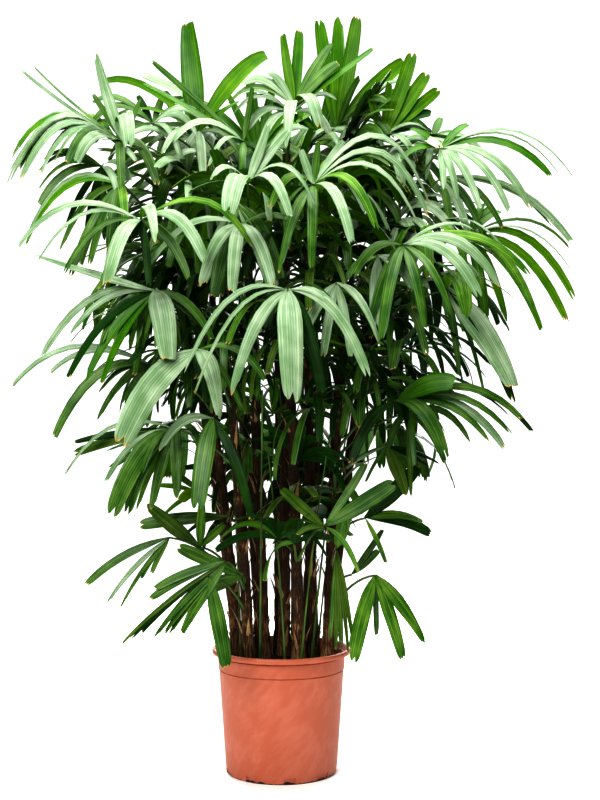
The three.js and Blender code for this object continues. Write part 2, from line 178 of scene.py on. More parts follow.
FRONT_FRONDS = (
    ((15, -330, 905), (
        ("pale", (-179, -10, -148), (-155, -20, -177), 2, 11, 0.65),
        ("pale", (-97, -50, -189), 22, 0.65),
        ("pale", (9, -110, -189), 40, 0.6),
        ("mid", (56, -40, -170), 25, 0.6),
        ("pale", (133, -40, -147), (123, -30, -118), 2, 17, 0.65),
    )),
    ((100, -250, 925), (
        ("pale", (74, -60, -115), (-63, 0, -108), 4, 17, 0.5),
    )),
    ((-225, -200, 915), (
        ("pale", (-230, 0, 70), 25, 0.02),
        ("pale", (-211, 20, -124), (-160, 0, -83), 2, 12, 0.42),
        ("deep", (-166, 0, -162), (-95, -20, -169), 3, 18, 0.35, UNDER),
        ("pale", (34, -100, -130), 38, 0.5),
        ("mid", (45, -40, -108), (103, -20, -86), 2, 17, 0.5),
        ("deep", (-40, 20, -150), (20, 20, -160), 2, 20, 0.5),
    )),
    ((-145, -260, 805), (
        ("pale", (-128, -80, -169), 45, 0.45),
        ("pale", (47, -90, -125), 30, 0.6),
        ("mid", (121, -40, -54), (80, -20, -110), 2, 13, 0.5),
    )),
    ((310, -120, 925), (
        ("mid", (116, -60, -186), 50, 0.2),
        ("mid", (112, -50, -205), 30, 0.5),
        ("fresh", (24, -120, -67), 43, 0.8),
        ("mid", (128, 0, -215), (26, 20, -169), 3, 12, 0.5),
    )),
)
WAIST_FRONDS = (
    ((-235, -100, 780), (
        ("pale", (-262, 0, -32), (-197, -10, -8), 2, 10, 0.45),
        ("pale", (-190, -20, -131), 17, 0.55),
        ("mid", (-107, 0, -49), (-56, -40, -69), 3, 15, 0.5),
        ("deep", (-120, 20, -100), (-10, 0, -110), 3, 16, 0.5),
    )),
    ((-195, -150, 665), (
        ("pale", (-211, 0, -90), (-134, 0, -103), 2, 10, 0.5),
        ("olive", (-191, 40, -24), (-193, 30, -46), 2, 17, 0.05),
        ("pale", (-108, -60, -156), 36, 0.5),
        ("mid", (-57, -60, -81), (64, -80, -37), 3, 15, 0.6),
        ("mid", (11, -40, -105), (-70, 0, -150), 2, 11, 0.4),
        ("mid", (-85, -30, -150), (10, -40, -130), 3, 22, 0.5),
    )),
    ((-120, -220, 685), (
        ("mid", (-23, -60, -159), 32, 0.5),
        ("deep", (71, -50, -175), 20, 0.5),
        ("pale", (-93, -40, -59), 18, 0.6),
    )),
    ((210, -150, 715), (
        ("olive", (107, -40, 35), 33, 0.3, UNDER),
        ("mid", (262, 0, -55), (204, 0, -26), 2, 14, 0.4),
        ("mid", (235, -20, -30), (175, -30, -75), 3, 16, 0.45),
        ("pale", (204, -20, -88), 17, 0.5),
        ("mid", (86, -80, -99), 32, 0.6),
        ("deep", (-83, -60, -112), 19, 0.5),
    )),
    ((240, -80, 695), (
        ("mid", (127, 0, -57), (-42, -40, -68), 4, 13, 0.5),
        ("olive", (4, -30, -165), (70, 0, -90), 2, 14, 0.4),
    )),
)
SKIRT_FRONDS = (
    ((-70, -100, 390), (
        ("olive", (-122, 0, 54), 24, 0.05),
        ("mid", (-81, -20, -30), 27, 0.1),
    )),
    ((-99, -170, 425), (
        ("mid", (-130, 0, -48), (-140, 0, -70), 2, 15, 0.08),
        ("olive", (-186, 0, -146), (-155, 0, -130), 3, 9, 0.05),
        ("mid", (-137, 0, -145), (-100, 0, -130), 3, 15, 0.05),
        ("fresh", (-80, -10, -128), 28, 0.05),
    )),
    ((-210, -80, 460), (
        ("olive", (-157, 0, -89), 14, 0.12),
        ("pale", (-123, 0, -130), (-97, 0, -138), 2, 11, 0.12),
        ("mid", (-56, 0, -81), (-34, 0, -66), 2, 9, 0.1),
    )),
    ((175, -130, 395), (
        ("fresh", (-48, 0, -136), (-40, -10, -159), 2, 24, 0.06),
        ("fresh", (48, -10, -155), (92, 0, -125), 2, 26, 0.12),
        ("mid", (50, 20, -115), (4, 20, -115), 2, 11, 0.2),
    )),
    ((80, -190, 490), (
        ("olive", (134, 20, 83), 31, 0.05),
        ("deep", (-80, 0, 71), 20, 0.1),
        ("deep", (81, 40, 121), 17, 0.05),
        ("mid", (63, -40, -80), 10, 0.4),
        ("deep", (-51, -20, -13), 12, 0.3),
    )),
    ((160, -60, 495), (
        ("deep", (107, 20, 102), 28, 0.05),
        ("mid", (125, -10, -30), (112, 0, -8), 2, 21, 0.2),
        ("mid", (70, 0, -2), (30, 0, -90), 2, 9, 0.15),
    )),
)

FRONDS = {
    "crest": CREST_FRONDS,
    "brow": BROW_FRONDS,
    "front": FRONT_FRONDS,
    "waist": WAIST_FRONDS,
    "skirt": SKIRT_FRONDS,
}

# Fronds that share the masses inside the crown, but show from the front.
INSIDE_FRONDS = (
    ((-70, -120, 1200), (
        ("fresh", (-195, -10, 113), 16, 0.1, UNDER),
        ("pale", (-169, -20, 147), (17, 0, 100), 2, 12, 0.1),
        ("pale", (-63, -60, -60), (-126, -30, -7), 2, 15, 0.6),
        ("mid", (0, -60, -90), (60, -30, -70), 2, 16, 0.5),
    )),
    ((-55, -280, 1095), (
        ("pale", (-63, -60, -5), (-28, -110, -66), 2, 29, 0.6),
        ("pale", (35, 0, 108), (75, 0, 96), 2, 19, 0.3),
        ("pale", (118, -50, -42), (73, -80, -66), 2, 17, 0.7),
    )),
    ((-70, -240, 1030), (
        ("pale", (60, -80, -119), (-66, -60, -115), 3, 21, 0.6),
        ("pale", (-163, -20, -89), 17, 0.6),
        ("mid", (106, -30, -12), 11, 0.4),
    )),
    ((-245, -60, 1245), (
        ("pale", (-110, -20, 35), (-80, -40, -80), 4, 15, 0.6),
        ("pale", (95, -20, 10), (60, -60, -80), 3, 15, 0.6),
        ("mid", (-30, 20, 60), (70, 20, 50), 3, 14, 0.3),
    )),
    ((300, 40, 1240), (
        ("mid", (-50, 20, 45), (60, 20, 10), 3, 15, 0.3, UNDER),
        ("pale", (110, -20, -50), (-90, -50, -60), 4, 14, 0.4),
    )),
    ((-75, -225, 1068), (
        ("pale", (76, -20, -137), (64, -20, -150), 2, 28, 0.4),
        ("mid", (-41, -30, -168), 30, 0.4),
        ("pale", (-60, -20, -147), 20, 0.5),
    )),
    ((175, -225, 975), (
        ("pale", (-4, -30, -130), 25, 0.2),
        ("pale", (62, -20, -62), 22, 0.5),
        ("mid", (-70, -10, -60), 16, 0.5),
    )),
    ((-135, -70, 1180), (
        ("mid", (10, -30, -95), (60, -40, -90), 3, 14, 0.4),
        ("pale", (-80, -40, -40), 14, 0.6),
    )),
    ((-160, -40, 545), (
        ("lime", (-92, 0, 15), (-70, 0, -50), 2, 10, 0.1, UNDER),
        ("lime", (-30, -20, -18), 25, 0.3, UNDER),
        ("mid", (-60, 0, 35), 15, 0.3),
    )),
    ((-155, -60, 440), (
        ("olive", (-103, 20, 80), 26, 0.05),
        ("fresh", (4, 0, 90), (50, 20, 40), 2, 17, 0.1),
    )),
    ((-100, -30, 495), (
        ("deep", (-172, 10, -17), 22, 0.05),
    )),
    ((105, -100, 440), (
        ("olive", (-14, 0, -176), (34, -10, -200), 5, 9, 0.1),
        ("lime", (12, 20, 58), (25, 20, 62), 2, 20, 0.2),
    )),
    ((135, -40, 385), (
        ("mid", (62, 20, 95), (54, 10, 48), 2, 14, 0.05),
    )),
    ((200, -60, 632), (
        ("olive", (40, -20, -98), 24, 0.1),
        ("mid", (105, 0, -35), (60, -10, -38), 3, 12, 0.1),
        ("pale", (-80, 0, -45), (-40, 0, -70), 2, 7, 0.1),
    )),
    ((-50, 60, 1215), (
        ("mid", (-150, 0, 45), (130, 0, 80), 7, 19, 0.3, UNDER),
        ("deep", (-150, -40, -40), (130, -40, -50), 6, 19, 0.5),
    )),
    ((-175, 0, 1235), (
        ("mid", (-60, 20, 95), (95, 20, 75), 5, 17, 0.2, UNDER),
        ("mid", (-95, -30, -40), (95, -30, -40), 5, 17, 0.5),
    )),
    ((75, 60, 1245), (
        ("mid", (-110, 0, 70), (100, 0, 70), 6, 16, 0.2, UNDER),
        ("pale", (-100, -50, -30), (100, -50, -30), 4, 15, 0.5),
    )),
    ((20, -60, 1265), (
        ("pale", (-110, -30, 20), (-60, -60, -75), 4, 16, 0.6),
        ("pale", (90, -30, 20), (70, -60, -60), 2, 15, 0.6),
    )),
    ((-335, -110, 1155), (
        ("mid", (-110, -20, 10), (-110, -20, -75), 4, 16, 0.5),
        ("deep", (-70, 0, -120), (50, 0, -130), 4, 16, 0.3),
        ("pale", (70, -50, 0), (40, -60, -80), 3, 14, 0.6),
    )),
    ((309, -20, 1150), (
        ("pale", (285, 0, -145), (225, 0, -100), 3, 12, 0.3),
        ("mid", (120, -40, -110), (10, -60, -130), 4, 16, 0.5),
    )),
    ((-130, -175, 398), (
        ("mid", (34, -20, -165), 25, 0.05),
    )),
    ((-170, -40, 640), (
        ("deep", (-160, 20, 5), (-170, 20, -55), 3, 15, 0.15),
    )),
)

# Tiers of the back: how many fronds, the headings of the first and last, and the half widths and
# height of the arc that their hubs lie on; then rise, spread and length.
BACK_TIERS = {
    "back_high": (3, (35, 145), (210, 190, 1170), (25, 240, 225)),
    "back_mid": (4, (22, 150), (320, 290, 960), (-12, 220, 235)),
    "back_low": (3, (30, 150), (240, 220, 660), (-25, 200, 205)),
}

MASSES = ("crown", "heart", "left", "right", "back_left", "back_right", "low_left", "low_right")
FOLIAGE_NODES = [f"foliage_{mass}" for mass in MASSES]

# The crown's half width at a height, for the fronds inside it.
CROWN_OUTLINE = ((430, 150), (560, 240), (700, 340), (850, 430), (1050, 440), (1200, 370), (1330, 200))
INNER_HEIGHTS = (715, 1240)
INNER_RISES = (-6, 46)  # degrees, from the lowest inner frond to the highest
SHELLS = (0.62, 0.34, 0.5)  # how far out the inner hubs lie in turn, as shares of the half width
HEART_SHELL = 0.4  # fronds on a shell nearer than this rise more, by so many degrees
HEART_RISE = 18
CROWN_MIDDLE = (15, 10)
FRONT_DEPTH = 0.62  # the crown's depth before and behind its middle, as shares of its width
BACK_DEPTH = 0.78
CREST_FROM = 1130  # inner fronds above this stand behind, as the crest's own fill the front
# Painted light and shade: inner fronds high in the crown get light tones, and low ones dark tones.
SUNLIT_FROM = 1060  # inner fronds above this are light, and those below the next are dark
SHADED_TO = 860

# Limits of a fan's spread in degrees and number of leaflets, and of a leaflet's length and width
# in mm and droop in degrees.
INNER_FAN = ((150, 250), (6, 8.99))
INNER_LEAFLET = ((165, 225), (22, 33), (30, 55))
LOW_FAN = ((120, 200), (4, 6.99))
LOW_LEAFLET = ((110, 170), (18, 27), (15, 40))
LOW_RING = (30, 120)  # how far from the middle the low hubs stand, and how high
LOW_HEIGHTS = (450, 720)

# Each tone of leaflets is dealt out to the kinds of green by these shares, from pale to lime.
# The tones are painted light and shade: pale for painted sheen, deep for painted shade.
LEAF_KINDS = ("pale", "fresh", "mid", "deep", "olive", "lime", "dry")
TONES = {
    "pale": (0.80, 0.0, 0.20, 0.0, 0.0, 0.0),
    "fresh": (0.20, 0.60, 0.20, 0.0, 0.0, 0.0),
    "mid": (0.07, 0.07, 0.72, 0.14, 0.0, 0.0),
    "deep": (0.0, 0.0, 0.35, 0.60, 0.05, 0.0),
    "olive": (0.0, 0.0, 0.25, 0.15, 0.60, 0.0),
    "lime": (0.0, 0.30, 0.0, 0.0, 0.10, 0.60),
}
SAME_GREEN = 0.6  # how many leaflets of a spray or fan share one kind
DRY_TIPS = 0.45  # how many leaflets end in a dry tip

GOLDEN_ANGLE = 137.508  # degrees, from one frond or stem to the next
YOUNG_STEMS = 13

# Where the runs of random numbers start, for each group of pieces and each use.
FROND_SEED = 1
CRUMB_SEED = 31
CANE_SEED = 60
STEM_SEED = 77
INNER_SEED = 200
LOW_SEED = 400
HANG_RUN = 500
GREEN_RUN = 900

# Sides and rings of the tubes.
CANE_MESH = (22, 110)
STEM_MESH = (6, 14)
STALK_MESH = (5, 8)

# ---- Small helpers ----


def linear(value):
    """Turns one sRGB hex colour into linear red, green and blue."""
    channels = (int(value[index : index + 2], 16) / 255 for index in (1, 3, 5))
    return tuple(c / 12.92 if c <= 0.04045 else ((c + 0.055) / 1.055) ** 2.4 for c in channels)


def lerp(low, high, share):
    return low + (high - low) * share


def clamp(value, low=0, high=1):
    return min(max(value, low), high)


def polar(turn, radius, z=0):
    """The point at a turn in radians, a distance from the Z axis and a height."""
    return Vector((radius * math.cos(turn), radius * math.sin(turn), z))


def along_table(table, at):
    """Reads a value between the rows of a short table of pairs."""
    for (low, first), (high, second) in zip(table, table[1:]):
        if at <= high:
            return lerp(first, second, max(0, at - low) / (high - low))
    return table[-1][1]


def number_run(seed):
    """A repeatable run of numbers between two limits, one run for each seed."""
    state = (seed * 7919 + 12345) % 4294967296

    def draw(low=0.0, high=1.0):
        nonlocal state
        state = (state * 1664525 + 1013904223) % 4294967296
        return low + (high - low) * state / 4294967296

    return draw


def deal(shares, draw):
    """Picks an index with the chances that shares gives."""
    left = draw()
    for index, share in enumerate(shares):
        left -= share
        if left <= 0:
            return index
    return 0


def to_mesh(name, bm):
    """Turns a bmesh into a mesh, and frees it."""
    mesh = bpy.data.meshes.new(name)
    bm.to_mesh(mesh)
    bm.free()
    return mesh


def finish_piece(name, bm, materials, replaced=()):
    """Turns a bmesh into a smooth piece in metres that rides on the plant."""
    bm.transform(Matrix.Scale(MM, 4))
    for face in bm.faces:
        face.smooth = True
    mesh = to_mesh(name, bm)
    for material in materials:
        mesh.materials.append(material)
    piece = bpy.data.objects.new(name, mesh)
    bpy.context.scene.collection.objects.link(piece)
    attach(piece, "root")
    if replaced:
        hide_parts(*replaced)


def append(bm, template, place, slot_of=None, uv_scale=None):
    """Adds a copy of a template mesh, with each vertex moved to place(vertex).

    slot_of turns the material index of each of its faces into that of the copy, and uv_scale
    scales its UV map.
    """
    verts = len(bm.verts)
    faces = len(bm.faces)
    bm.from_mesh(template)
    bm.verts.ensure_lookup_table()
    bm.faces.ensure_lookup_table()
    if slot_of:
        for face in bm.faces[faces:]:
            face.material_index = slot_of(face.material_index)
    if uv_scale:
        layer = bm.loops.layers.uv.active
        for face in bm.faces[faces:]:
            for loop in face.loops:
                loop[layer].uv *= uv_scale
    for vert in bm.verts[verts:]:
        vert.co = place(vert.co)


def add(tree, kind, values=None, links=None, stops=(), **fields):
    """Adds a shader node with its fields, socket values, links and ramp stops.

    kind is the node's type without its prefix. Gives the node's outputs.
    """
    node = tree.nodes.new("ShaderNode" + kind)
    for field, value in fields.items():
        setattr(node, field, value)
    for socket, value in (values or {}).items():
        node.inputs[socket].default_value = value
    for socket, output in (links or {}).items():
        tree.links.new(output, node.inputs[socket])
    for index, (place, colour) in enumerate(stops):
        elements = node.color_ramp.elements
        element = elements[index] if index < len(elements) else elements.new(place)
        element.position = place
        element.color = (*colour, 1)
    return node.outputs


def new_material(name):
    """An empty node material, its tree and the places that its patterns read."""
    material = bpy.data.materials.new(name)
    material.use_nodes = True
    material.node_tree.nodes.clear()
    return material, material.node_tree, add(material.node_tree, "TexCoord")


def finish_material(material, values, links):
    """Gives a material its surface."""
    shader = add(material.node_tree, "BsdfPrincipled", values, links)["BSDF"]
    add(material.node_tree, "OutputMaterial", links={"Surface": shader})
    return material


# ---- Limbs ----

CANE_LEAN = 0.28  # how far out the middle of a limb is pulled, as a share of its tip's
YOUNG_LEAN = 0.3
STALKS_FROM = 0.1  # the stretch of a cane that stalks grow from, as shares of its length
STALKS_TO = 0.97
STALK_ARCH = 0.2  # how high a stalk arches, as a share of its length
STALK_RADII = (2.9, 1.9)
SHEATH_SWELL = 2.2  # how much a stalk widens at its foot, in mm, and over what share of it
SHEATH_SHARE = 0.06
ASIDE = Vector((0.13, 0.21, 0.97))  # no limb runs this way, so it gives each limb a side


def bezier(first, middle, last):
    """A curve from first to last that middle pulls aside, as a function of the share along it."""

    def point(share):
        return first * (1 - share) ** 2 + middle * (2 * share * (1 - share)) + last * share**2

    return point


def leaning(foot, tip, lean):
    """A limb that rises steeply from its foot, then leans out to its tip."""
    knee = foot.lerp(tip, lean)
    knee.z = (foot.z + tip.z) / 2
    return bezier(foot, knee, tip)


def cane_curve(cane):
    (x, y), tip = cane
    return leaning(Vector((x, y, SOIL_LEVEL)), Vector(tip), CANE_LEAN)


def cane_point(cane, height):
    """The point of a cane at a height, kept to the stretch that stalks grow from."""
    share = (height - SOIL_LEVEL) / (cane[1][2] - SOIL_LEVEL)
    return cane_curve(cane)(clamp(share, STALKS_FROM, STALKS_TO))


def stalk_curve(hub, rise):
    """A stalk leaves the nearest cane below its blade, or above a blade that hangs."""
    roots = []
    for cane in CANES:
        beside = cane_point(cane, hub.z)
        reach = math.hypot(beside.x - hub.x, beside.y - hub.y)
        roots.append(cane_point(cane, hub.z - reach * (0.5 + rise / 100)))
    root = min(roots, key=lambda place: (place - hub).length)
    crown = root.lerp(hub, 0.5)
    crown.z += STALK_ARCH * (root - hub).length
    return bezier(root, crown, hub)


def tube_template(sides, steps):
    """An open unit tube along +Z."""
    bm = bmesh.new()
    ring = bmesh.ops.create_circle(bm, segments=sides, radius=1)["verts"]
    edges = list({edge for vert in ring for edge in vert.link_edges})
    for _ in range(steps):
        grown = bmesh.ops.extrude_edge_only(bm, edges=edges)["geom"]
        verts = [item for item in grown if isinstance(item, bmesh.types.BMVert)]
        edges = [item for item in grown if isinstance(item, bmesh.types.BMEdge)]
        bmesh.ops.translate(bm, verts=verts, vec=(0, 0, 1 / steps))
    bmesh.ops.recalc_face_normals(bm, faces=bm.faces[:])
    return to_mesh("tube_template", bm)


def add_stalk(bm, template, curve, foot_radius, tip_radius):
    """A thin tapering stalk that widens into the sheath at its foot."""

    def place(co):
        tangent = (curve(min(co.z + 0.01, 1)) - curve(max(co.z - 0.01, 0))).normalized()
        side = tangent.cross(ASIDE).normalized()
        up = tangent.cross(side)
        swell = SHEATH_SWELL * math.exp(-co.z / SHEATH_SHARE)
        radius = lerp(foot_radius, tip_radius, co.z) + swell
        return curve(co.z) + (side * co.x + up * co.y) * radius

    append(bm, template, place)


# ---- Leaflets and fans ----

# Half width of a leaflet along its length, as a share of its widest.
LEAFLET_PROFILE = (
    *((0.0, 0.12), (0.06, 0.32), (0.14, 0.62), (0.26, 0.88)),
    *((0.42, 1.0), (0.62, 0.99), (0.82, 0.9), (0.95, 0.76), (1.0, 0.64)),
)
STATIONS = (0.0, 0.05, 0.12, 0.2, 0.3, 0.42, 0.55, 0.68, 0.8, 0.9, 0.96, 0.985, 1.0)
PLEATS = 3

# The relief of a leaflet, as shares of its width: its pleats, how far its edges hang, and how far
# they fold up beside the hub, over which share of its length.
PLEAT_DEPTH = 0.055
EDGE_HANG = 0.03
FOOT_FOLD = 0.18
FOOT_SHARE = 0.08
TIP_SHARE = 0.1  # the share of its length that the cuts of its tip reach into

# How a tip ends: the depth of each tooth across it, how far it is cut aslant, and its taper.
TIP_SHAPES = (
    ((0.035, 0.0, 0.022, 0.004, 0.026, 0.0, 0.035), 0.02, 1.0),
    ((0.02, 0.006, 0.03, 0.012, 0.0, 0.01, 0.04), -0.05, 0.9),
    ((0.04, 0.01, 0.02, 0.06, 0.0, 0.012, 0.035), 0.0, 1.05),
    ((0.05, 0.03, 0.01, 0.0, 0.012, 0.03, 0.06), 0.03, 0.66),
)


def leaflet_template(teeth, slant, taper):
    """A pleated leaflet along +X, one long and at most one wide, with a toothed blunt tip.

    The faces of its very tip have material index 1, and the others 0.
    """
    bm = bmesh.new()
    bm.loops.layers.uv.new("UVMap")
    across = 2 * PLEATS
    along = len(STATIONS) - 1
    bmesh.ops.create_grid(bm, x_segments=along, y_segments=across, size=0.5, calc_uvs=True)
    for face in bm.faces:
        face.material_index = 1 if face.calc_center_median().x > 0.5 - 1 / along else 0
    for vert in bm.verts:
        share = STATIONS[round((vert.co.x + 0.5) * along)]
        row = round((vert.co.y + 0.5) * across)
        edge = abs(2 * vert.co.y)
        cut = (teeth[row] + slant * (vert.co.y + 0.5)) * max(0, share - 1 + TIP_SHARE) / TIP_SHARE
        pleat = PLEAT_DEPTH * (row % 2) * min(1, share * 6)
        fold = FOOT_FOLD * edge * math.exp(-share / FOOT_SHARE)
        vert.co.x = share - cut
        vert.co.y *= along_table(LEAFLET_PROFILE, share) * lerp(1, taper, max(0, 2 * share - 1))
        vert.co.z = pleat - EDGE_HANG * edge**2 + fold
    return to_mesh("leaflet_template", bm)


FACING = Vector((0, -0.8, 0.6))  # which way the upper sides of the front leaflets face
FRONT_STALK_RISE = 15  # degrees
UV_SPAN = (300, 60)  # the length and width that the whole UV map would span
BOX_MARGIN = 8  # how far past the solid model's box a leaf tip may reach
BEND_STEPS = 16
SWING = (0.1, 0.7)  # radians, how much a leaflet of a fan arches up and over its knee
KNEE = (0.28, 0.48)  # where its knee lies and how long it is, as shares of its length
KNEE_LENGTH = (0.1, 0.24)
FAN_TWIST = 0.6  # radians, how far a leaflet may turn about its midrib by its tip
SPRAY_TWIST = 0.7

# How a fan's leaflets differ from what it states: they are narrower, set off higher and hang
# further, and a fan of more than a few has more of them.
FEW = 5
MORE_LEAFLETS = 1.35
NARROWER = 0.8
STEEP = 50  # degrees; a fan that rises more than this isn't lifted
LIFT = 16  # degrees
EXTRA_DROOP = 25  # degrees


def off_midrib(co, middle, tangent, across, turn, width):
    """Where a point of a flat leaflet lies once its midrib is at middle, and it is turned."""
    across = (across - tangent * across.dot(tangent)).normalized()
    up = tangent.cross(across)
    side = across * math.cos(turn) + up * math.sin(turn)
    proud = up * math.cos(turn) - across * math.sin(turn)
    return middle + (side * co.y + proud * co.z) * width


class Leaflet:
    """One leaflet of a fan: how it sets off from the hub, its size and how it hangs."""

    def __init__(self, hub, start, across, size, droop, draw):
        self.hub = hub
        self.start = start
        self.across = across
        self.length, self.width = size
        self.fall = (Vector((0, 0, -1)) + start * start.z).normalized()
        slack = math.sqrt(max(0, 1 - start.z**2))
        self.turn = min(droop * slack, 0.95 * math.acos(clamp(-start.z, -1)))
        self.swing = slack * draw(*SWING)
        self.knee = draw(*KNEE)
        self.bend = draw(*KNEE_LENGTH)
        self.path = self.hanging_path()
        self.twist = draw(-FAN_TWIST, FAN_TWIST)
        self.sway = draw(-0.05, 0.05) * self.length
        self.shape = int(draw(0, len(TIP_SHAPES) - 0.001))
        self.dry = draw() < DRY_TIPS

    def shorten(self, share):
        self.length *= share

    def angle_at(self, share):
        """A leaflet arches up from the hub, bends over at its knee and then hangs."""
        over = math.tanh((share - self.knee) / self.bend) + 2 * self.knee - 1
        return self.turn * share + self.swing * over

    def hanging_path(self):
        """How far out and how far down the leaflet has gone, at even steps along it."""
        path = [(0.0, 0.0)]
        for step in range(BEND_STEPS):
            angle = self.angle_at((step + 0.5) / BEND_STEPS)
            out, down = path[-1]
            path.append((out + math.cos(angle) / BEND_STEPS, down + math.sin(angle) / BEND_STEPS))
        return path

    def place(self, co):
        """Where a point of the flat leaflet lies once it hangs."""
        at = clamp(co.x, 0, 0.9999) * BEND_STEPS
        (out, down), (out_next, down_next) = self.path[int(at)], self.path[int(at) + 1]
        middle = self.hub + self.start * (self.length * lerp(out, out_next, at % 1))
        middle += self.fall * (self.length * lerp(down, down_next, at % 1))
        middle += self.across * (self.sway * co.x**2)
        angle = self.angle_at(min(co.x, 1))
        tangent = self.start * math.cos(angle) + self.fall * math.sin(angle)
        return off_midrib(co, middle, tangent, self.across, self.twist * co.x, self.width)


class SprayLeaflet:
    """One leaflet of a spray: a curve from its hub to its tip, arched up in between."""

    def __init__(self, hub, reach, width, arch, side, draw):
        self.hub = hub
        self.reach = reach
        self.arch = arch * math.hypot(reach.x, reach.y)
        self.length = reach.length
        self.width = width
        self.side = side
        self.across = FACING.cross(reach).normalized()
        self.twist = draw(-SPRAY_TWIST, SPRAY_TWIST)
        self.shape = int(draw(0, len(TIP_SHAPES) - 0.001))
        self.dry = draw() < DRY_TIPS
        self.curve = self.arched_curve()

    def arched_curve(self):
        crown = Vector((self.reach.x * 0.6, self.reach.y * 0.6, self.reach.z * 0.5 + self.arch))
        return bezier(self.hub, self.hub + crown, self.hub + self.reach)

    def shorten(self, share):
        self.reach *= share
        self.curve = self.arched_curve()

    def place(self, co):
        """Where a point of the flat leaflet lies along its curve."""
        share = clamp(co.x)
        tangent = (self.curve(share + 0.01) - self.curve(share - 0.01)).normalized()
        turn = self.side + self.twist * share
        return off_midrib(co, self.curve(share), tangent, self.across, turn, self.width)


def spray_leaflets(hub, spray, draw):
    """The leaflets of a spray, spread evenly from the reach of its first to that of its last."""
    _, first, *others = spray
    last, count = first, 1
    if isinstance(others[0], tuple):
        last, count, *others = others
    width, arch, *under = others
    first, last = Vector(first), Vector(last)
    side = math.pi if under else 0
    leaflets = []
    for index in range(count):
        share = clamp((index + draw(-0.15, 0.15)) / (count - 1)) if count > 1 else 0
        reach = first.normalized().slerp(last.normalized(), share)
        reach *= lerp(first.length, last.length, share) * draw(0.95, 1.03)
        wide = width * draw(0.95, 1.22)
        leaflets.append(SprayLeaflet(hub, reach, wide, arch * draw(0.85, 1.15), side, draw))
    return leaflets


def blade_frame(heading, rise, roll):
    """Forward along the middle of the fan, side across it, and face standing up from it."""
    forward = polar(heading, math.cos(rise), math.sin(rise))
    side = Matrix.Rotation(roll, 3, forward) @ polar(heading + math.pi / 2, 1)
    return forward, side, forward.cross(side)


def fan_leaflets(fan, seed):
    """The leaflets of one frond, from one side of its fan to the other."""
    hub, (heading, rise, roll), (spread, count), (length, width, droop), _ = fan
    lifted = rise + (LIFT if rise < STEEP else 0)
    forward, side, face = blade_frame(*(math.radians(angle) for angle in (heading, lifted, roll)))
    draw = number_run(seed)
    hang_draw = number_run(seed + HANG_RUN)
    if count > FEW:
        count = round(count * MORE_LEAFLETS)
    step = math.radians(spread) / (count - 1)
    leaflets = []
    for index in range(count):
        angle = (index - (count - 1) / 2) * step + draw(-0.15, 0.15) * step
        long = length * draw(0.86, 1.06) * (1 - 0.12 * abs(angle) / math.pi)
        wide = width * draw(0.7, 1.2) * NARROWER
        hang = math.radians(droop + EXTRA_DROOP) * draw(0.75, 1.25)
        start = forward * math.cos(angle) + side * math.sin(angle)
        leaflets.append(Leaflet(hub, start, face.cross(start), (long, wide), hang, hang_draw))
    return leaflets


def inside_box(leaflet):
    """Shortens a leaflet whose tip would leave the plant's box."""
    low = [value / MM - BOX_MARGIN for value in CAD_BOX[0]]
    high = [value / MM + BOX_MARGIN for value in CAD_BOX[1]]
    for _ in range(12):
        tip = leaflet.place(Vector((1, 0, 0)))
        if all(low[axis] <= tip[axis] <= high[axis] for axis in range(3)):
            return
        leaflet.shorten(0.95)


def add_leaflets(leaves, leaflets, tone, meshes, draw):
    """Adds some leaflets in the greens of one tone, most of them in the same green."""
    shares = TONES[tone]
    main = deal(shares, draw)
    for leaflet in leaflets:
        inside_box(leaflet)
        green = main if draw() < SAME_GREEN else deal(shares, draw)
        tip = LEAF_KINDS.index("dry") if leaflet.dry else green
        size = Vector((leaflet.length / UV_SPAN[0], leaflet.width / UV_SPAN[1]))
        append(leaves, meshes[leaflet.shape], leaflet.place, (green, tip).__getitem__, size)


def add_fan(leaves, stalks, fan, seed, templates):
    """Adds one frond whose leaflets fan out evenly."""
    meshes, stalk = templates
    hub, (_, rise, _), _, _, tone = fan
    add_leaflets(leaves, fan_leaflets(fan, seed), tone, meshes, number_run(seed + GREEN_RUN))
    add_stalk(stalks, stalk, stalk_curve(hub, rise), *STALK_RADII)


def add_frond(leaves, stalks, frond, seed, templates):
    """Adds one frond that is made of sprays."""
    meshes, stalk = templates
    hub = Vector(frond[0])
    draw = number_run(seed + GREEN_RUN)
    for spray in frond[1]:
        add_leaflets(leaves, spray_leaflets(hub, spray, draw), spray[0], meshes, draw)
    add_stalk(stalks, stalk, stalk_curve(hub, FRONT_STALK_RISE), *STALK_RADII)


def frond_templates():
    return [leaflet_template(*shape) for shape in TIP_SHAPES], tube_template(*STALK_MESH)


def make_fronds(name, fronds, seed, replaced, templates, add_one=add_fan):
    """Makes the leaves of some fronds one piece and their stalks another."""
    leaves = bmesh.new()
    leaves.loops.layers.uv.new("UVMap")
    stalks = bmesh.new()
    for index, frond in enumerate(fronds):
        add_one(leaves, stalks, frond, seed + index, templates)
    greens = [leaf_material(kind) for kind in LEAF_KINDS]
    finish_piece(f"leaves_{name}", leaves, greens, replaced)
    finish_piece(f"stalks_{name}", stalks, [stalk_material()])


def back_fronds(tier):
    count, (first, last), (half_x, half_y, z), (rise, spread, length) = tier
    fronds = []
    for index in range(count):
        heading = lerp(first, last, index / (count - 1))
        turn = math.radians(heading)
        hub = Vector((half_x * math.cos(turn), half_y * math.sin(turn), z))
        fronds.append((hub, (heading, rise, 0), (spread, 8), (length, 34, 45), "mid"))
    return fronds


def inner_tone(z, index):
    """Painted light and shade: leaves inside the crown get lighter tones at its sunlit top and darker
    ones towards its foot.
    """
    if z > SUNLIT_FROM:
        return ("fresh", "mid", "pale")[index % 3]
    return "deep" if z < SHADED_TO or index % 3 else "mid"


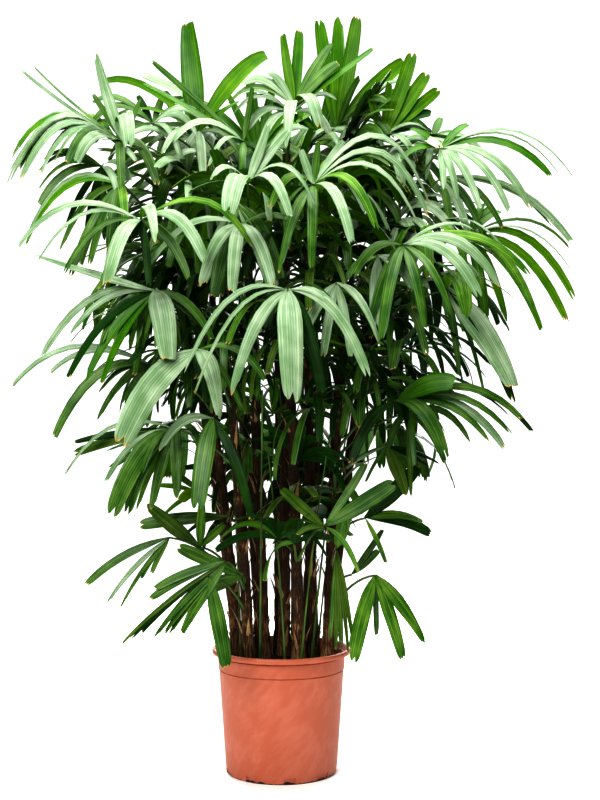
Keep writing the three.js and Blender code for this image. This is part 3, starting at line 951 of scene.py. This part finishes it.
def inner_fronds(settings):
    """Fronds inside the crown, set round it by the golden angle, from low to high."""
    draw = number_run(settings.seed)
    fronds = []
    for index in range(settings.inner_fronds):
        share = (index + 0.5) / settings.inner_fronds
        z = lerp(*INNER_HEIGHTS, share) + draw(-25, 25)
        heading = (index * GOLDEN_ANGLE + draw(-12, 12)) % 360
        if z > CREST_FROM and heading > 180:
            heading = 360 - heading
        turn = math.radians(heading)
        shell = SHELLS[index % 3]
        half = along_table(CROWN_OUTLINE, z) * shell
        depth = BACK_DEPTH if math.sin(turn) > 0 else FRONT_DEPTH
        x, y = CROWN_MIDDLE
        hub = Vector((x + half * math.cos(turn), y + half * depth * math.sin(turn), z))
        rise = lerp(*INNER_RISES, share**1.4) + draw(-16, 16)
        rise += HEART_RISE if shell < HEART_SHELL else 0
        aim = (heading + draw(-25, 25), rise, draw(-25, 25))
        spread, count = (draw(*limits) for limits in INNER_FAN)
        length, width, droop = (draw(*limits) for limits in INNER_LEAFLET)
        leaflet = (length, width * lerp(0.65, 1.0, share), droop)
        fronds.append((hub, aim, (spread, int(count)), leaflet, inner_tone(z, index)))
    return fronds


def low_fronds(settings):
    """Small fronds between the canes, under the crown, dark as painted shade."""
    draw = number_run(settings.seed + 1)
    fronds = []
    for index in range(settings.low_fronds):
        heading = (index * GOLDEN_ANGLE + draw(-15, 15)) % 360
        hub = polar(math.radians(heading), draw(*LOW_RING), draw(*LOW_HEIGHTS))
        spread, count = (draw(*limits) for limits in LOW_FAN)
        leaflet = [draw(*limits) for limits in LOW_LEAFLET]
        aim = (heading, draw(15, 60), draw(-40, 40))
        # The deep tone is painted shade under the crown.
        fronds.append((hub, aim, (spread, int(count)), leaflet, "deep"))
    return fronds


# ---- Materials ----

# Palm leaf: a leathery blade with a waxy skin, pleated and finely veined along its length. Its
# upper side is painted in pale streaks between the veins, which are painted sheen, and its
# underside is a clear green that is partly painted light shining through the blade.
# Each kind has the light and dark of its upper side, then those of its underside. The kinds are
# one green under painted light and shade: pale is painted sheen, the brighter greens are painted
# light and deep is painted shade; dry is the dry tips' own colour.
LEAF_COLOURS = {
    "pale": ("#adbca0", "#66865a", "#68980a", "#386e00"),
    "fresh": ("#84a642", "#306212", "#6a920a", "#3a6a00"),
    "mid": ("#6e9040", "#22500c", "#5a8a04", "#286000"),
    "deep": ("#2e5616", "#0b2c04", "#225602", "#0c3800"),
    "olive": ("#6c8438", "#33520f", "#5a7a0c", "#2c5200"),
    "lime": ("#9cbc30", "#548404", "#90b410", "#588800"),
    "dry": ("#d8c98a", "#9a7f45", "#c8b478", "#8c703a"),
}
SHEEN = {"pale": 0.3, "mid": 0.25}  # how much the waxier kinds shine, beside 0.1 for the others
VEIN_PITCH = 4.5  # mm; real veins are 1 to 2 mm apart, drawn coarser so that they show
VEIN_WEIGHT = 0.08  # how much veins and patches colour the blade, beside its streaks
PATCH_WEIGHT = 0.4
STREAK_SIZE = (200, 6)  # mm, along and across the blade
WAVE_PITCH = 0.314  # what one wave of the wave texture measures at a scale of 1


def leaf_material(kind):
    name = f"palm_leaf_{kind}"
    if name in bpy.data.materials:
        return bpy.data.materials[name]
    material, tree, place = new_material(name)
    light, dark, under_light, under_dark = (linear(value) for value in LEAF_COLOURS[kind])
    patches = add(tree, "TexNoise", {"Scale": 1 / (45 * MM)}, {"Vector": place["Object"]})["Fac"]
    stretch = (UV_SPAN[0] / STREAK_SIZE[0], UV_SPAN[1] / STREAK_SIZE[1], 1)
    stretched = add(tree, "Mapping", {"Scale": stretch}, {"Vector": place["UV"]})["Vector"]
    grain = {"Scale": 1.0, "Detail": 5.0, "Roughness": 0.7}
    streaks = add(tree, "TexNoise", grain, {"Vector": stretched})["Fac"]
    scale = WAVE_PITCH * UV_SPAN[1] / VEIN_PITCH
    ribs = {"Scale": scale, "Distortion": 1.5, "Detail": 1.0, "Detail Scale": 0.6}
    veins = add(tree, "TexWave", ribs, {"Vector": place["UV"]}, bands_direction="Y")["Fac"]
    weigh = {"operation": "MULTIPLY_ADD"}
    striped = add(tree, "Math", {1: VEIN_WEIGHT}, {0: veins, 2: streaks}, **weigh)["Value"]
    blend = add(tree, "Math", {1: PATCH_WEIGHT}, {0: patches, 2: striped}, **weigh)["Value"]
    # The light end of each ramp is painted light: sheen along the streaks of the upper side, and light
    # shining through the underside.
    from_dark, to_light = 0.64, 0.92
    greens = ((from_dark, dark), (to_light, light))
    upper = add(tree, "ValToRGB", links={"Fac": blend}, stops=greens)["Color"]
    greens = ((from_dark, under_dark), (to_light, under_light))
    under = add(tree, "ValToRGB", links={"Fac": blend}, stops=greens)["Color"]
    # The underside gets its own green, partly painted light shining through the blade.
    side = add(tree, "NewGeometry")["Backfacing"]
    colour = add(tree, "MixRGB", links={"Fac": side, "Color1": upper, "Color2": under})["Color"]
    bump = add(tree, "Bump", {"Strength": 1.0, "Distance": 0.4 * MM}, {"Height": striped})["Normal"]
    skin = {"Roughness": 0.36, "IOR": 1.5, "Specular IOR Level": SHEEN.get(kind, 0.1)}
    return finish_material(material, skin, {"Base Color": colour, "Normal": bump})


def stalk_material():
    """Leaf stalk: a smooth, slightly waxy green rod, olive where it is old."""
    name = "palm_stalk"
    if name in bpy.data.materials:
        return bpy.data.materials[name]
    material, tree, place = new_material(name)
    patches = add(tree, "TexNoise", {"Scale": 1 / (60 * MM)}, {"Vector": place["Object"]})["Fac"]
    greens = ((0.35, linear("#2c4a12")), (0.7, linear("#5e7c26")))
    colour = add(tree, "ValToRGB", links={"Fac": patches}, stops=greens)["Color"]
    skin = {"Roughness": 0.45, "IOR": 1.45}
    return finish_material(material, skin, {"Base Color": colour})


FOOT_WEAR_TOP = 0.36  # m, the height under which the canes are worn paler
FOOT_WEAR = 1.3  # how fast they grow paler below it, per metre
FIBRE_PATCHES = 0.55  # how much patches colour the fibre, beside its strands


def fibre_material(name, dark, light, worn, roughness):
    """Sheath fibre: dry matted strands that run up the cane, worn paler at its foot."""
    material, tree, place = new_material(name)
    stretched = add(tree, "Mapping", {"Scale": (1, 1, 0.05)}, {"Vector": place["Object"]})["Vector"]
    fine = {"Scale": 1 / (1.6 * MM), "Detail": 4.0, "Roughness": 0.65}
    strands = add(tree, "TexNoise", fine, {"Vector": stretched})["Fac"]
    coarse = {"Scale": 1 / (35 * MM), "Detail": 3.0}
    patches = add(tree, "TexNoise", coarse, {"Vector": place["Object"]})["Fac"]
    mixed = {0: patches, 2: strands}
    blend = add(tree, "Math", {1: FIBRE_PATCHES}, mixed, operation="MULTIPLY_ADD")["Value"]
    height = add(tree, "SeparateXYZ", links={"Vector": place["Object"]})["Z"]
    fade = {1: -FOOT_WEAR, 2: FOOT_WEAR * FOOT_WEAR_TOP}
    wear = add(tree, "Math", fade, {0: height}, operation="MULTIPLY_ADD", use_clamp=True)["Value"]
    paler = add(tree, "Math", links={0: blend, 1: wear}, operation="ADD")["Value"]
    browns = ((0.6, linear(dark)), (0.92, linear(light)), (1.0, linear(worn)))
    colour = add(tree, "ValToRGB", links={"Fac": paler}, stops=browns)["Color"]
    bump = add(tree, "Bump", {"Strength": 0.8, "Distance": 0.8 * MM}, {"Height": strands})["Normal"]
    skin = {"Roughness": roughness, "IOR": 1.5, "Specular IOR Level": 0.3}
    return finish_material(material, skin, {"Base Color": colour, "Normal": bump})


SOIL_MARK_TOP = 0.016  # m, how high the soil marks at the foot of the pot may reach
SOIL_MARK_REACH = 0.026  # m, how much they rise and fall
DUST_WEIGHT = 0.6  # how much dust colours the pot, beside its scuffs


def pot_material(plain):
    """Moulded polypropylene coloured as terracotta: matt, scuffed paler, with soil at its foot."""
    material, tree, place = new_material("moulded_terracotta_polypropylene")
    slant = {"Rotation": (0, math.radians(40), 0), "Scale": (1, 1, 3.5)}
    slanted = add(tree, "Mapping", slant, {"Vector": place["Object"]}, vector_type="TEXTURE")["Vector"]
    fine = {"Scale": 1 / (16 * MM), "Detail": 6.0, "Roughness": 0.62}
    scuffs = add(tree, "TexNoise", fine, {"Vector": slanted})["Fac"]
    coarse = {"Scale": 1 / (80 * MM), "Detail": 3.0}
    dust = add(tree, "TexNoise", coarse, {"Vector": place["Object"]})["Fac"]
    mixed = {0: dust, 2: scuffs}
    blend = add(tree, "Math", {1: DUST_WEIGHT}, mixed, operation="MULTIPLY_ADD")["Value"]
    dusty = tuple(min(1, 1.03 * channel + 0.035) for channel in plain)
    paler = ((0.72, plain), (1.0, dusty))
    colour = add(tree, "ValToRGB", links={"Fac": blend}, stops=paler)["Color"]
    height = add(tree, "SeparateXYZ", links={"Vector": place["Object"]})["Z"]
    rough = {"Scale": 1 / (14 * MM), "Detail": 6.0, "Roughness": 0.7}
    crumbs = add(tree, "TexNoise", rough, {"Vector": place["Object"]})["Fac"]
    sunk = {1: -SOIL_MARK_REACH}
    ragged = add(tree, "Math", sunk, {0: crumbs, 2: height}, operation="MULTIPLY_ADD")["Value"]
    edge = {1: SOIL_MARK_TOP - SOIL_MARK_REACH}
    clean = add(tree, "Math", edge, {0: ragged}, operation="GREATER_THAN")["Value"]
    soil = {"Color1": (*linear("#1c130d"), 1)}
    marked = add(tree, "MixRGB", soil, {"Fac": clean, "Color2": colour})["Color"]
    bump = add(tree, "Bump", {"Strength": 0.2, "Distance": 0.2 * MM}, {"Height": scuffs})["Normal"]
    skin = {"Roughness": 0.5, "IOR": 1.49}
    return finish_material(material, skin, {"Base Color": marked, "Normal": bump})


def soil_material():
    """Peat and bark potting soil: matt dark crumbs, with a few dry brown ones."""
    material, tree, place = new_material("peat_potting_soil")
    grit = {"Scale": 1 / (4 * MM), "Detail": 6.0, "Roughness": 0.7}
    crumbs = add(tree, "TexNoise", grit, {"Vector": place["Object"]})["Fac"]
    browns = ((0.4, linear("#1c120c")), (0.75, linear("#4a3222")))
    colour = add(tree, "ValToRGB", links={"Fac": crumbs}, stops=browns)["Color"]
    bump = add(tree, "Bump", {"Strength": 0.9, "Distance": 1.5 * MM}, {"Height": crumbs})["Normal"]
    skin = {"Roughness": 0.95, "IOR": 1.45, "Specular IOR Level": 0.2}
    return finish_material(material, skin, {"Base Color": colour, "Normal": bump})


def paper_material():
    """Matt white paper, with a faint grain."""
    material, tree, place = new_material("matt_white_paper")
    grain = add(tree, "TexNoise", {"Scale": 1 / (3 * MM)}, {"Vector": place["Object"]})["Fac"]
    bump = add(tree, "Bump", {"Strength": 0.05, "Distance": 0.1 * MM}, {"Height": grain})["Normal"]
    skin = {"Base Color": (*linear("#f4f4f2"), 1), "Roughness": 0.9}
    return finish_material(material, skin, {"Normal": bump})


# ---- Settings ----


class PotSettings(PropertyGroup):
    height: FloatProperty(name="Height", description="Height of the pot", default=0.24, unit="LENGTH")
    rim_radius: FloatProperty(
        name="Rim radius", description="Outside radius of the rim", default=0.135, unit="LENGTH"
    )
    foot_radius: FloatProperty(
        name="Foot radius", description="Outside radius of the foot", default=0.107, unit="LENGTH"
    )
    colour: FloatVectorProperty(
        name="Colour", description="Colour of the plastic", subtype="COLOR", default=linear("#b46345")
    )


class CaneSettings(PropertyGroup):
    foot_radius: FloatProperty(
        name="Foot radius", description="Cane radius at the soil", default=0.0113, unit="LENGTH"
    )
    tip_radius: FloatProperty(
        name="Tip radius", description="Cane radius at its tip", default=0.0075, unit="LENGTH"
    )
    sheath_length: FloatProperty(
        name="Sheath", description="Cane between two sheath tops", default=0.068, unit="LENGTH"
    )


class FoliageSettings(PropertyGroup):
    inner_fronds: IntProperty(
        name="Inner fronds", description="How many fronds fill the crown", default=100, min=0
    )
    low_fronds: IntProperty(
        name="Low fronds", description="How many fronds stand between the canes", default=20, min=0
    )
    seed: IntProperty(name="Seed", description="Which run of numbers sets them", default=7)


class StageSettings(PropertyGroup):
    power: FloatProperty(
        name="Lights", description="Power that each light has a share of", default=130.0, unit="POWER"
    )
    daylight: FloatProperty(
        name="Daylight", description="Strength of the even light all round", default=0.08
    )


class PalmSettings(PropertyGroup):
    pot: PointerProperty(type=PotSettings)
    cane: PointerProperty(type=CaneSettings)
    foliage: PointerProperty(type=FoliageSettings)
    stage: PointerProperty(type=StageSettings)


# ---- Operators ----


def spun(profile, steps):
    """A closed shape of revolution from (radius, height) points that start and end on the axis."""
    bm = bmesh.new()
    verts = [bm.verts.new((radius, 0, z)) for radius, z in profile]
    edges = [bm.edges.new(pair) for pair in zip(verts, verts[1:])]
    full = {"cent": (0, 0, 0), "axis": (0, 0, 1), "angle": 2 * math.pi, "use_merge": True}
    bmesh.ops.spin(bm, geom=verts + edges, steps=steps, **full)
    bmesh.ops.remove_doubles(bm, verts=bm.verts[:], dist=0.01)
    bmesh.ops.recalc_face_normals(bm, faces=bm.faces[:])
    return bm


POT_SIDES = 96
WALL_RADIUS = 121.4  # the outside of the pot's wall at its collar line
COLLAR_LINE = 198.6
NOTCH_PITCH = 40  # degrees, from one drainage notch in the foot to the next
NOTCH_TURN = 8  # degrees
NOTCH_WIDTH = 14  # degrees
NOTCH_HEIGHTS = (2.3, 12)
NOTCH_EDGE = 0.8
NOTCH_DEPTH = 2.2
SHARP = math.radians(32)  # edges of the pot that bend more than this stay sharp


class PALM_OT_pot(Operator):
    """Makes the nursery pot, with its collar, rolled rim and drainage notches"""

    bl_idname = "palm.pot"
    bl_label = "Pot"

    def execute(self, context):
        settings = context.scene.palm.pot
        foot = settings.foot_radius / MM
        bm = spun(self.profile(foot, settings.rim_radius / MM, settings.height / MM), POT_SIDES)
        notched = []
        for face in bm.faces:
            centre = face.calc_center_median()
            turn = (math.degrees(math.atan2(centre.y, centre.x)) + NOTCH_TURN) % NOTCH_PITCH
            low = NOTCH_HEIGHTS[0] < centre.z < NOTCH_HEIGHTS[1] and centre.xy.length > foot - 1
            if low and turn < NOTCH_WIDTH:
                notched.append(face)
        sunk = {"thickness": NOTCH_EDGE, "depth": -NOTCH_DEPTH, "use_even_offset": True}
        bmesh.ops.inset_region(bm, faces=notched, **sunk)
        for edge in bm.edges:
            if edge.is_manifold and edge.calc_face_angle() > SHARP:
                edge.smooth = False
        material = pot_material(tuple(settings.colour))
        finish_piece("nursery_pot", bm, [material], ["pot"])
        return {"FINISHED"}

    def profile(self, foot, rim, top):
        """Up the outside, over the rim and down the inside, as radii and heights."""
        wall = WALL_RADIUS
        line = COLLAR_LINE
        base = [(0, 2), (foot - 15, 2), (foot - 12, 0), (foot - 2, 0), (foot, 2.2), (foot + 0.9, 12)]
        side = [(lerp(foot, wall + 0.1, 0.5), 100), (wall, line), (wall - 1.2, line + 0.8)]
        collar = [(wall - 0.8, line + 1.8), (wall + 1.5, line + 2.6), (wall + 2.2, top - 14.6)]
        groove = [(wall - 0.6, top - 13.6), (wall - 0.2, top - 11.2)]
        roll = [(rim - 3.5, top - 11), (rim - 1, top - 10), (rim, top - 7.5), (rim, top - 3.5)]
        lip = [(rim - 1.2, top - 0.9), (rim - 3.5, top), (rim - 6.2, top - 0.6), (rim - 8, top - 3)]
        inside = [(119.6, top - 18), (104.2, 6.5), (102.5, 5), (0, 5)]
        return base + side + collar + groove + roll + lip + inside


SOIL_SIDES = 80
SOIL_TOP = 221.0
SOIL_RADIUS = 116
SOIL_RINGS = (0.93, 0.84, 0.74, 0.64, 0.53, 0.42, 0.31, 0.2, 0.1)  # as shares of that radius
LUMP_HEIGHT = 3.2
LUMP_PITCH = 20
LUMP_NOISE = (0.8, 2.0, 4)  # its smoothness, how much finer each layer is and how many there are
CRUMBS = 420
CRUMB_TURN = 2.39996  # radians, from one crumb to the next
CRUMB_HEIGHTS = (220.5, 223.5)
CRUMB_SIZE = ((1.5, 5.5), (1.2, 3.4), (0.9, 2.4))  # limits of half its length, width and height


class PALM_OT_soil(Operator):
    """Makes the uneven soil, with its crumbs of bark"""

    bl_idname = "palm.soil"
    bl_label = "Soil"

    def execute(self, context):
        rings = [(SOIL_RADIUS * share, SOIL_TOP) for share in SOIL_RINGS]
        profile = [(0, 5.5), (103, 5.5), (116.5, 217), (115, 219.5), *rings, (0, SOIL_TOP)]
        bm = spun(profile, SOIL_SIDES)
        for vert in bm.verts:
            if vert.co.z > SOIL_TOP - 3:
                lump = noise.fractal(vert.co / LUMP_PITCH, *LUMP_NOISE)
                vert.co.z += LUMP_HEIGHT * lump * min(1, (SOIL_RADIUS + 2 - vert.co.xy.length) / 12)
        material = soil_material()
        finish_piece("potting_soil", bm, [material], ["soil"])
        finish_piece("bark_crumbs", self.crumbs(), [material])
        return {"FINISHED"}

    def crumbs(self):
        shape = bmesh.new()
        bmesh.ops.create_icosphere(shape, subdivisions=1, radius=1)
        crumb = to_mesh("crumb_template", shape)
        crumbs = bmesh.new()
        draw = number_run(CRUMB_SEED)
        for index in range(CRUMBS):
            reach = (SOIL_RADIUS - 4) * math.sqrt(draw())
            centre = polar(index * CRUMB_TURN, reach, draw(*CRUMB_HEIGHTS))
            size = Vector([draw(*limits) for limits in CRUMB_SIZE])
            spin = Matrix.Rotation(draw(0, 6.28), 3, "Z") @ Matrix.Rotation(draw(-0.6, 0.6), 3, "X")
            append(crumbs, crumb, lambda co: centre + spin @ (co * size))
        return crumbs


def flap_template():
    """A pointed strip of sheath along +Z, one long, which curls away at its end."""
    bm = bmesh.new()
    bmesh.ops.create_grid(bm, x_segments=2, y_segments=5, size=0.5)
    for vert in bm.verts:
        share = vert.co.y + 0.5
        wide = vert.co.x * (1 - share) ** 0.7
        vert.co = Vector((wide, share**2 * 0.28 - abs(vert.co.x) * 0.25 * (1 - share), share))
    return to_mesh("flap_template", bm)


FLARE = 4.5  # how much a cane widens at its foot, and over what share of it
FLARE_SHARE = 0.035
SHEATH_STEP = 2.0  # how far each sheath's top stands out over the next
RAGGED = 0.12  # how much that top rises and falls round the cane, as a share of a sheath
BARK_RELIEF = 1.3  # how deep the bark's furrows are, and the height of one
FURROW = 60
FLAPS = 5  # to each sheath
BROAD_FLAPS = 0.3  # how many flaps are broad, all of them straw-coloured
STRAW_FLAPS = 0.4  # how many of the thin ones are, beside the brown ones
BROAD_SIZE = ((28, 60), (7, 13))  # limits of a flap's length and width
THIN_SIZE = ((20, 50), (1.2, 2.5))

STEM_RING = (52, 103)  # how far from the middle the young stems rise, how far aside and how high
STEM_ASIDE = (-70, 70)
STEM_HEIGHT = (380, 580)
STEM_FOOT = (1.8, 2.6)  # limits of their radius at the foot and at the tip
STEM_TIP = (1.3, 1.8)


class PALM_OT_canes(Operator):
    """Makes the canes, wrapped in fibrous sheaths with straw-coloured flaps"""

    bl_idname = "palm.canes"
    bl_label = "Canes"

    def execute(self, context):
        templates = tube_template(*CANE_MESH), flap_template()
        canes = bmesh.new()
        flaps = bmesh.new()
        for index, cane in enumerate(CANES):
            self.add_cane(canes, flaps, templates, cane, index, context.scene.palm.cane)
        brown = fibre_material("matted_sheath_fibre", "#150b04", "#4c321a", "#94704c", 0.85)
        straw = fibre_material("dry_sheath_straw", "#6e522e", "#b8966a", "#c9a874", 0.75)
        nodes = [f"cane_{index + 1}" for index in range(len(CANES))]
        finish_piece("canes", canes, [brown], nodes)
        finish_piece("sheath_flaps", flaps, [straw, brown])
        self.make_young_stems()
        return {"FINISHED"}

    def make_young_stems(self):
        """Thin green stems that rise between the canes into the leaves."""
        stems = bmesh.new()
        template = tube_template(*STEM_MESH)
        draw = number_run(STEM_SEED)
        for index in range(YOUNG_STEMS):
            foot = polar(math.radians(index * GOLDEN_ANGLE), draw(*STEM_RING), SOIL_LEVEL)
            lean = Vector([draw(*limits) for limits in (STEM_ASIDE, STEM_ASIDE, STEM_HEIGHT)])
            tip = foot + lean + foot.xy.to_3d() * 0.5
            curve = leaning(foot, tip, YOUNG_LEAN)
            add_stalk(stems, template, curve, draw(*STEM_FOOT), draw(*STEM_TIP))
        finish_piece("young_stems", stems, [stalk_material()])

    def add_cane(self, canes, flaps, templates, cane, index, settings):
        tube, flap = templates
        curve = cane_curve(cane)
        draw = number_run(CANE_SEED + index)
        height = cane[1][2] - SOIL_LEVEL
        sheaths = height / (settings.sheath_length / MM)
        phase = draw()
        foot = settings.foot_radius / MM
        tip = settings.tip_radius / MM

        def radius_at(share, angle):
            plain = lerp(foot, tip, share) + FLARE * math.exp(-share / FLARE_SHARE)
            ragged = RAGGED * noise.noise(polar(angle, 4, index))
            wrap = (share * sheaths + phase + ragged) % 1
            around = polar(angle, 3.5, share * height / FURROW) + Vector((index, 0, 0))
            return plain + SHEATH_STEP * (wrap - 0.5) + BARK_RELIEF * noise.noise(around)

        def place(co):
            return curve(co.z) + Vector((co.x, co.y, 0)) * radius_at(co.z, math.atan2(co.y, co.x))

        append(canes, tube, place)
        for step in range(int(sheaths)):
            for _ in range(FLAPS):
                self.add_flap(flaps, flap, curve, (step + 1 - phase) / sheaths, radius_at, draw)

    def add_flap(self, flaps, flap, curve, share, radius_at, draw):
        """Adds a loose flap of sheath that leans off the cane."""
        angle = draw(0, 2 * math.pi)
        broad = draw() < BROAD_FLAPS
        long, wide = (draw(*limits) for limits in (BROAD_SIZE if broad else THIN_SIZE))
        share = clamp(share + draw(-0.02, 0.02), 0.01, 0.95)
        out = polar(angle, 1)
        side = polar(angle + math.pi / 2, 1)
        root = curve(share) + out * (radius_at(share, angle) - 0.5)
        up = (curve(share + 0.02) - curve(share - 0.01)).normalized() + out * draw(0.02, 0.25)

        def place(co):
            return root + side * (co.x * wide) + out * (co.y * long * 0.7) + up * (co.z * long)

        slot = 0 if broad or draw() < STRAW_FLAPS else 1
        append(flaps, flap, place, lambda index: slot)


class PALM_OT_fronds(Operator):
    """Makes the fronds of each tier, and those of the back"""

    bl_idname = "palm.fronds"
    bl_label = "Fronds"

    def execute(self, context):
        templates = frond_templates()
        seed = FROND_SEED
        for name, fronds in FRONDS.items():
            nodes = [f"frond_{name}_{index + 1}" for index in range(len(fronds))]
            make_fronds(name, fronds, seed, nodes, templates, add_frond)
            seed += len(fronds)
        make_fronds("inside", INSIDE_FRONDS, seed, (), templates, add_frond)
        seed += len(INSIDE_FRONDS)
        for name, tier in BACK_TIERS.items():
            fronds = back_fronds(tier)
            nodes = [f"frond_{name}_{index + 1}" for index in range(len(fronds))]
            make_fronds(name, fronds, seed, nodes, templates)
            seed += len(fronds)
        return {"FINISHED"}


class PALM_OT_inner_fronds(Operator):
    """Makes the fronds inside the crown, in place of its masses, and the low ones between canes"""

    bl_idname = "palm.inner_fronds"
    bl_label = "Inner fronds"

    def execute(self, context):
        settings = context.scene.palm.foliage
        templates = frond_templates()
        make_fronds("inner", inner_fronds(settings), INNER_SEED, FOLIAGE_NODES, templates)
        make_fronds("low", low_fronds(settings), LOW_SEED, (), templates)
        return {"FINISHED"}


# Each light's place, what it points at and its size, in metres, and its share of the power.
LIGHTS = {
    "panel": ((0, -0.3, 3.6), (0, 0, 0.7), (3.4, 2.6), 1.25),
    "backdrop": ((0, 3.2, 2.2), (0, 0, 0.9), (4.4, 2.6), 1.6),
    "key": ((-1.3, -2.7, 2.5), (0, 0, 0.9), (1.5, 1.5), 0.66),
    "fill": ((2.6, -2.6, 1.5), (0, 0, 0.8), (1.6, 2.0), 0.1),
}
FLOOR_RADIUS = 2.4  # m
CAMERA_PLACE = (0.036, -2.634, 0.709)  # m
CAMERA_TILT = 90.25  # degrees up from straight down
LENS = 60.8  # mm, on a sensor 36 mm wide
VIEW_GAMMA = 0.7
VIEW_EXPOSURE = 0.5


class PALM_OT_stage(Operator):
    """Makes the pale floor, the soft lights and the camera"""

    bl_idname = "palm.stage"
    bl_label = "Stage"

    def execute(self, context):
        scene = context.scene
        self.make_floor(scene)
        self.make_world(scene, scene.palm.stage.daylight)
        for name, light in LIGHTS.items():
            self.make_light(scene, name, light)
        self.make_camera(scene)
        scene.view_settings.view_transform = "Standard"
        scene.view_settings.gamma = VIEW_GAMMA
        scene.view_settings.exposure = VIEW_EXPOSURE
        return {"FINISHED"}

    def make_floor(self, scene):
        bm = bmesh.new()
        bmesh.ops.create_circle(bm, cap_ends=True, segments=96, radius=FLOOR_RADIUS)
        mesh = to_mesh("floor", bm)
        mesh.materials.append(paper_material())
        floor = bpy.data.objects.new("floor", mesh)
        scene.collection.objects.link(floor)

    def make_world(self, scene, strength):
        """Faint even light, seen by the camera as a bright backdrop."""
        scene.world = bpy.data.worlds.new("studio")
        scene.world.use_nodes = True
        tree = scene.world.node_tree
        tree.nodes.clear()
        colour = (*linear("#fbfcfc"), 1)
        lit = add(tree, "Background", {"Color": colour, "Strength": strength})["Background"]
        seen = add(tree, "Background", {"Color": colour, "Strength": 1.0})["Background"]
        to_camera = add(tree, "LightPath")["Is Camera Ray"]
        mix = add(tree, "MixShader", links={0: to_camera, 1: lit, 2: seen})["Shader"]
        add(tree, "OutputWorld", links={"Surface": mix})

    def make_light(self, scene, name, setup):
        place, target, size, share = setup
        light = bpy.data.lights.new(name, "AREA")
        light.shape = "RECTANGLE"
        light.size, light.size_y = size
        light.energy = scene.palm.stage.power * share
        lamp = bpy.data.objects.new(name, light)
        lamp.location = place
        towards = Vector(target) - Vector(place)
        lamp.rotation_euler = towards.to_track_quat("-Z", "Y").to_euler()
        lamp.visible_camera = False
        scene.collection.objects.link(lamp)

    def make_camera(self, scene):
        camera = bpy.data.cameras.new("camera")
        camera.lens = LENS
        camera.sensor_width = 36
        camera.dof.use_dof = False
        view = bpy.data.objects.new("camera", camera)
        view.location = CAMERA_PLACE
        view.rotation_euler = (math.radians(CAMERA_TILT), 0, 0)
        scene.collection.objects.link(view)
        scene.camera = view


class PALM_PT_panel(Panel):
    """Lists the steps that make the palm"""

    bl_idname = "PALM_PT_panel"
    bl_label = "Lady palm"
    bl_space_type = "VIEW_3D"
    bl_region_type = "UI"
    bl_category = "Palm"

    def draw(self, context):
        for operator in OPERATORS:
            self.layout.operator(operator.bl_idname)


OPERATORS = (
    PALM_OT_pot,
    PALM_OT_soil,
    PALM_OT_canes,
    PALM_OT_fronds,
    PALM_OT_inner_fronds,
    PALM_OT_stage,
)
SETTINGS = (PotSettings, CaneSettings, FoliageSettings, StageSettings, PalmSettings)
CLASSES = (*SETTINGS, *OPERATORS, PALM_PT_panel)


def register():
    for cls in CLASSES:
        bpy.utils.register_class(cls)
    bpy.types.Scene.palm = PointerProperty(type=PalmSettings)


def unregister():
    del bpy.types.Scene.palm
    for cls in reversed(CLASSES):
        bpy.utils.unregister_class(cls)


def main():
    register()
    bpy.ops.palm.pot()
    bpy.ops.palm.soil()
    bpy.ops.palm.canes()
    bpy.ops.palm.fronds()
    bpy.ops.palm.inner_fronds()
    bpy.ops.palm.stage()
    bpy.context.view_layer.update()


if __name__ == "__main__":
    main()
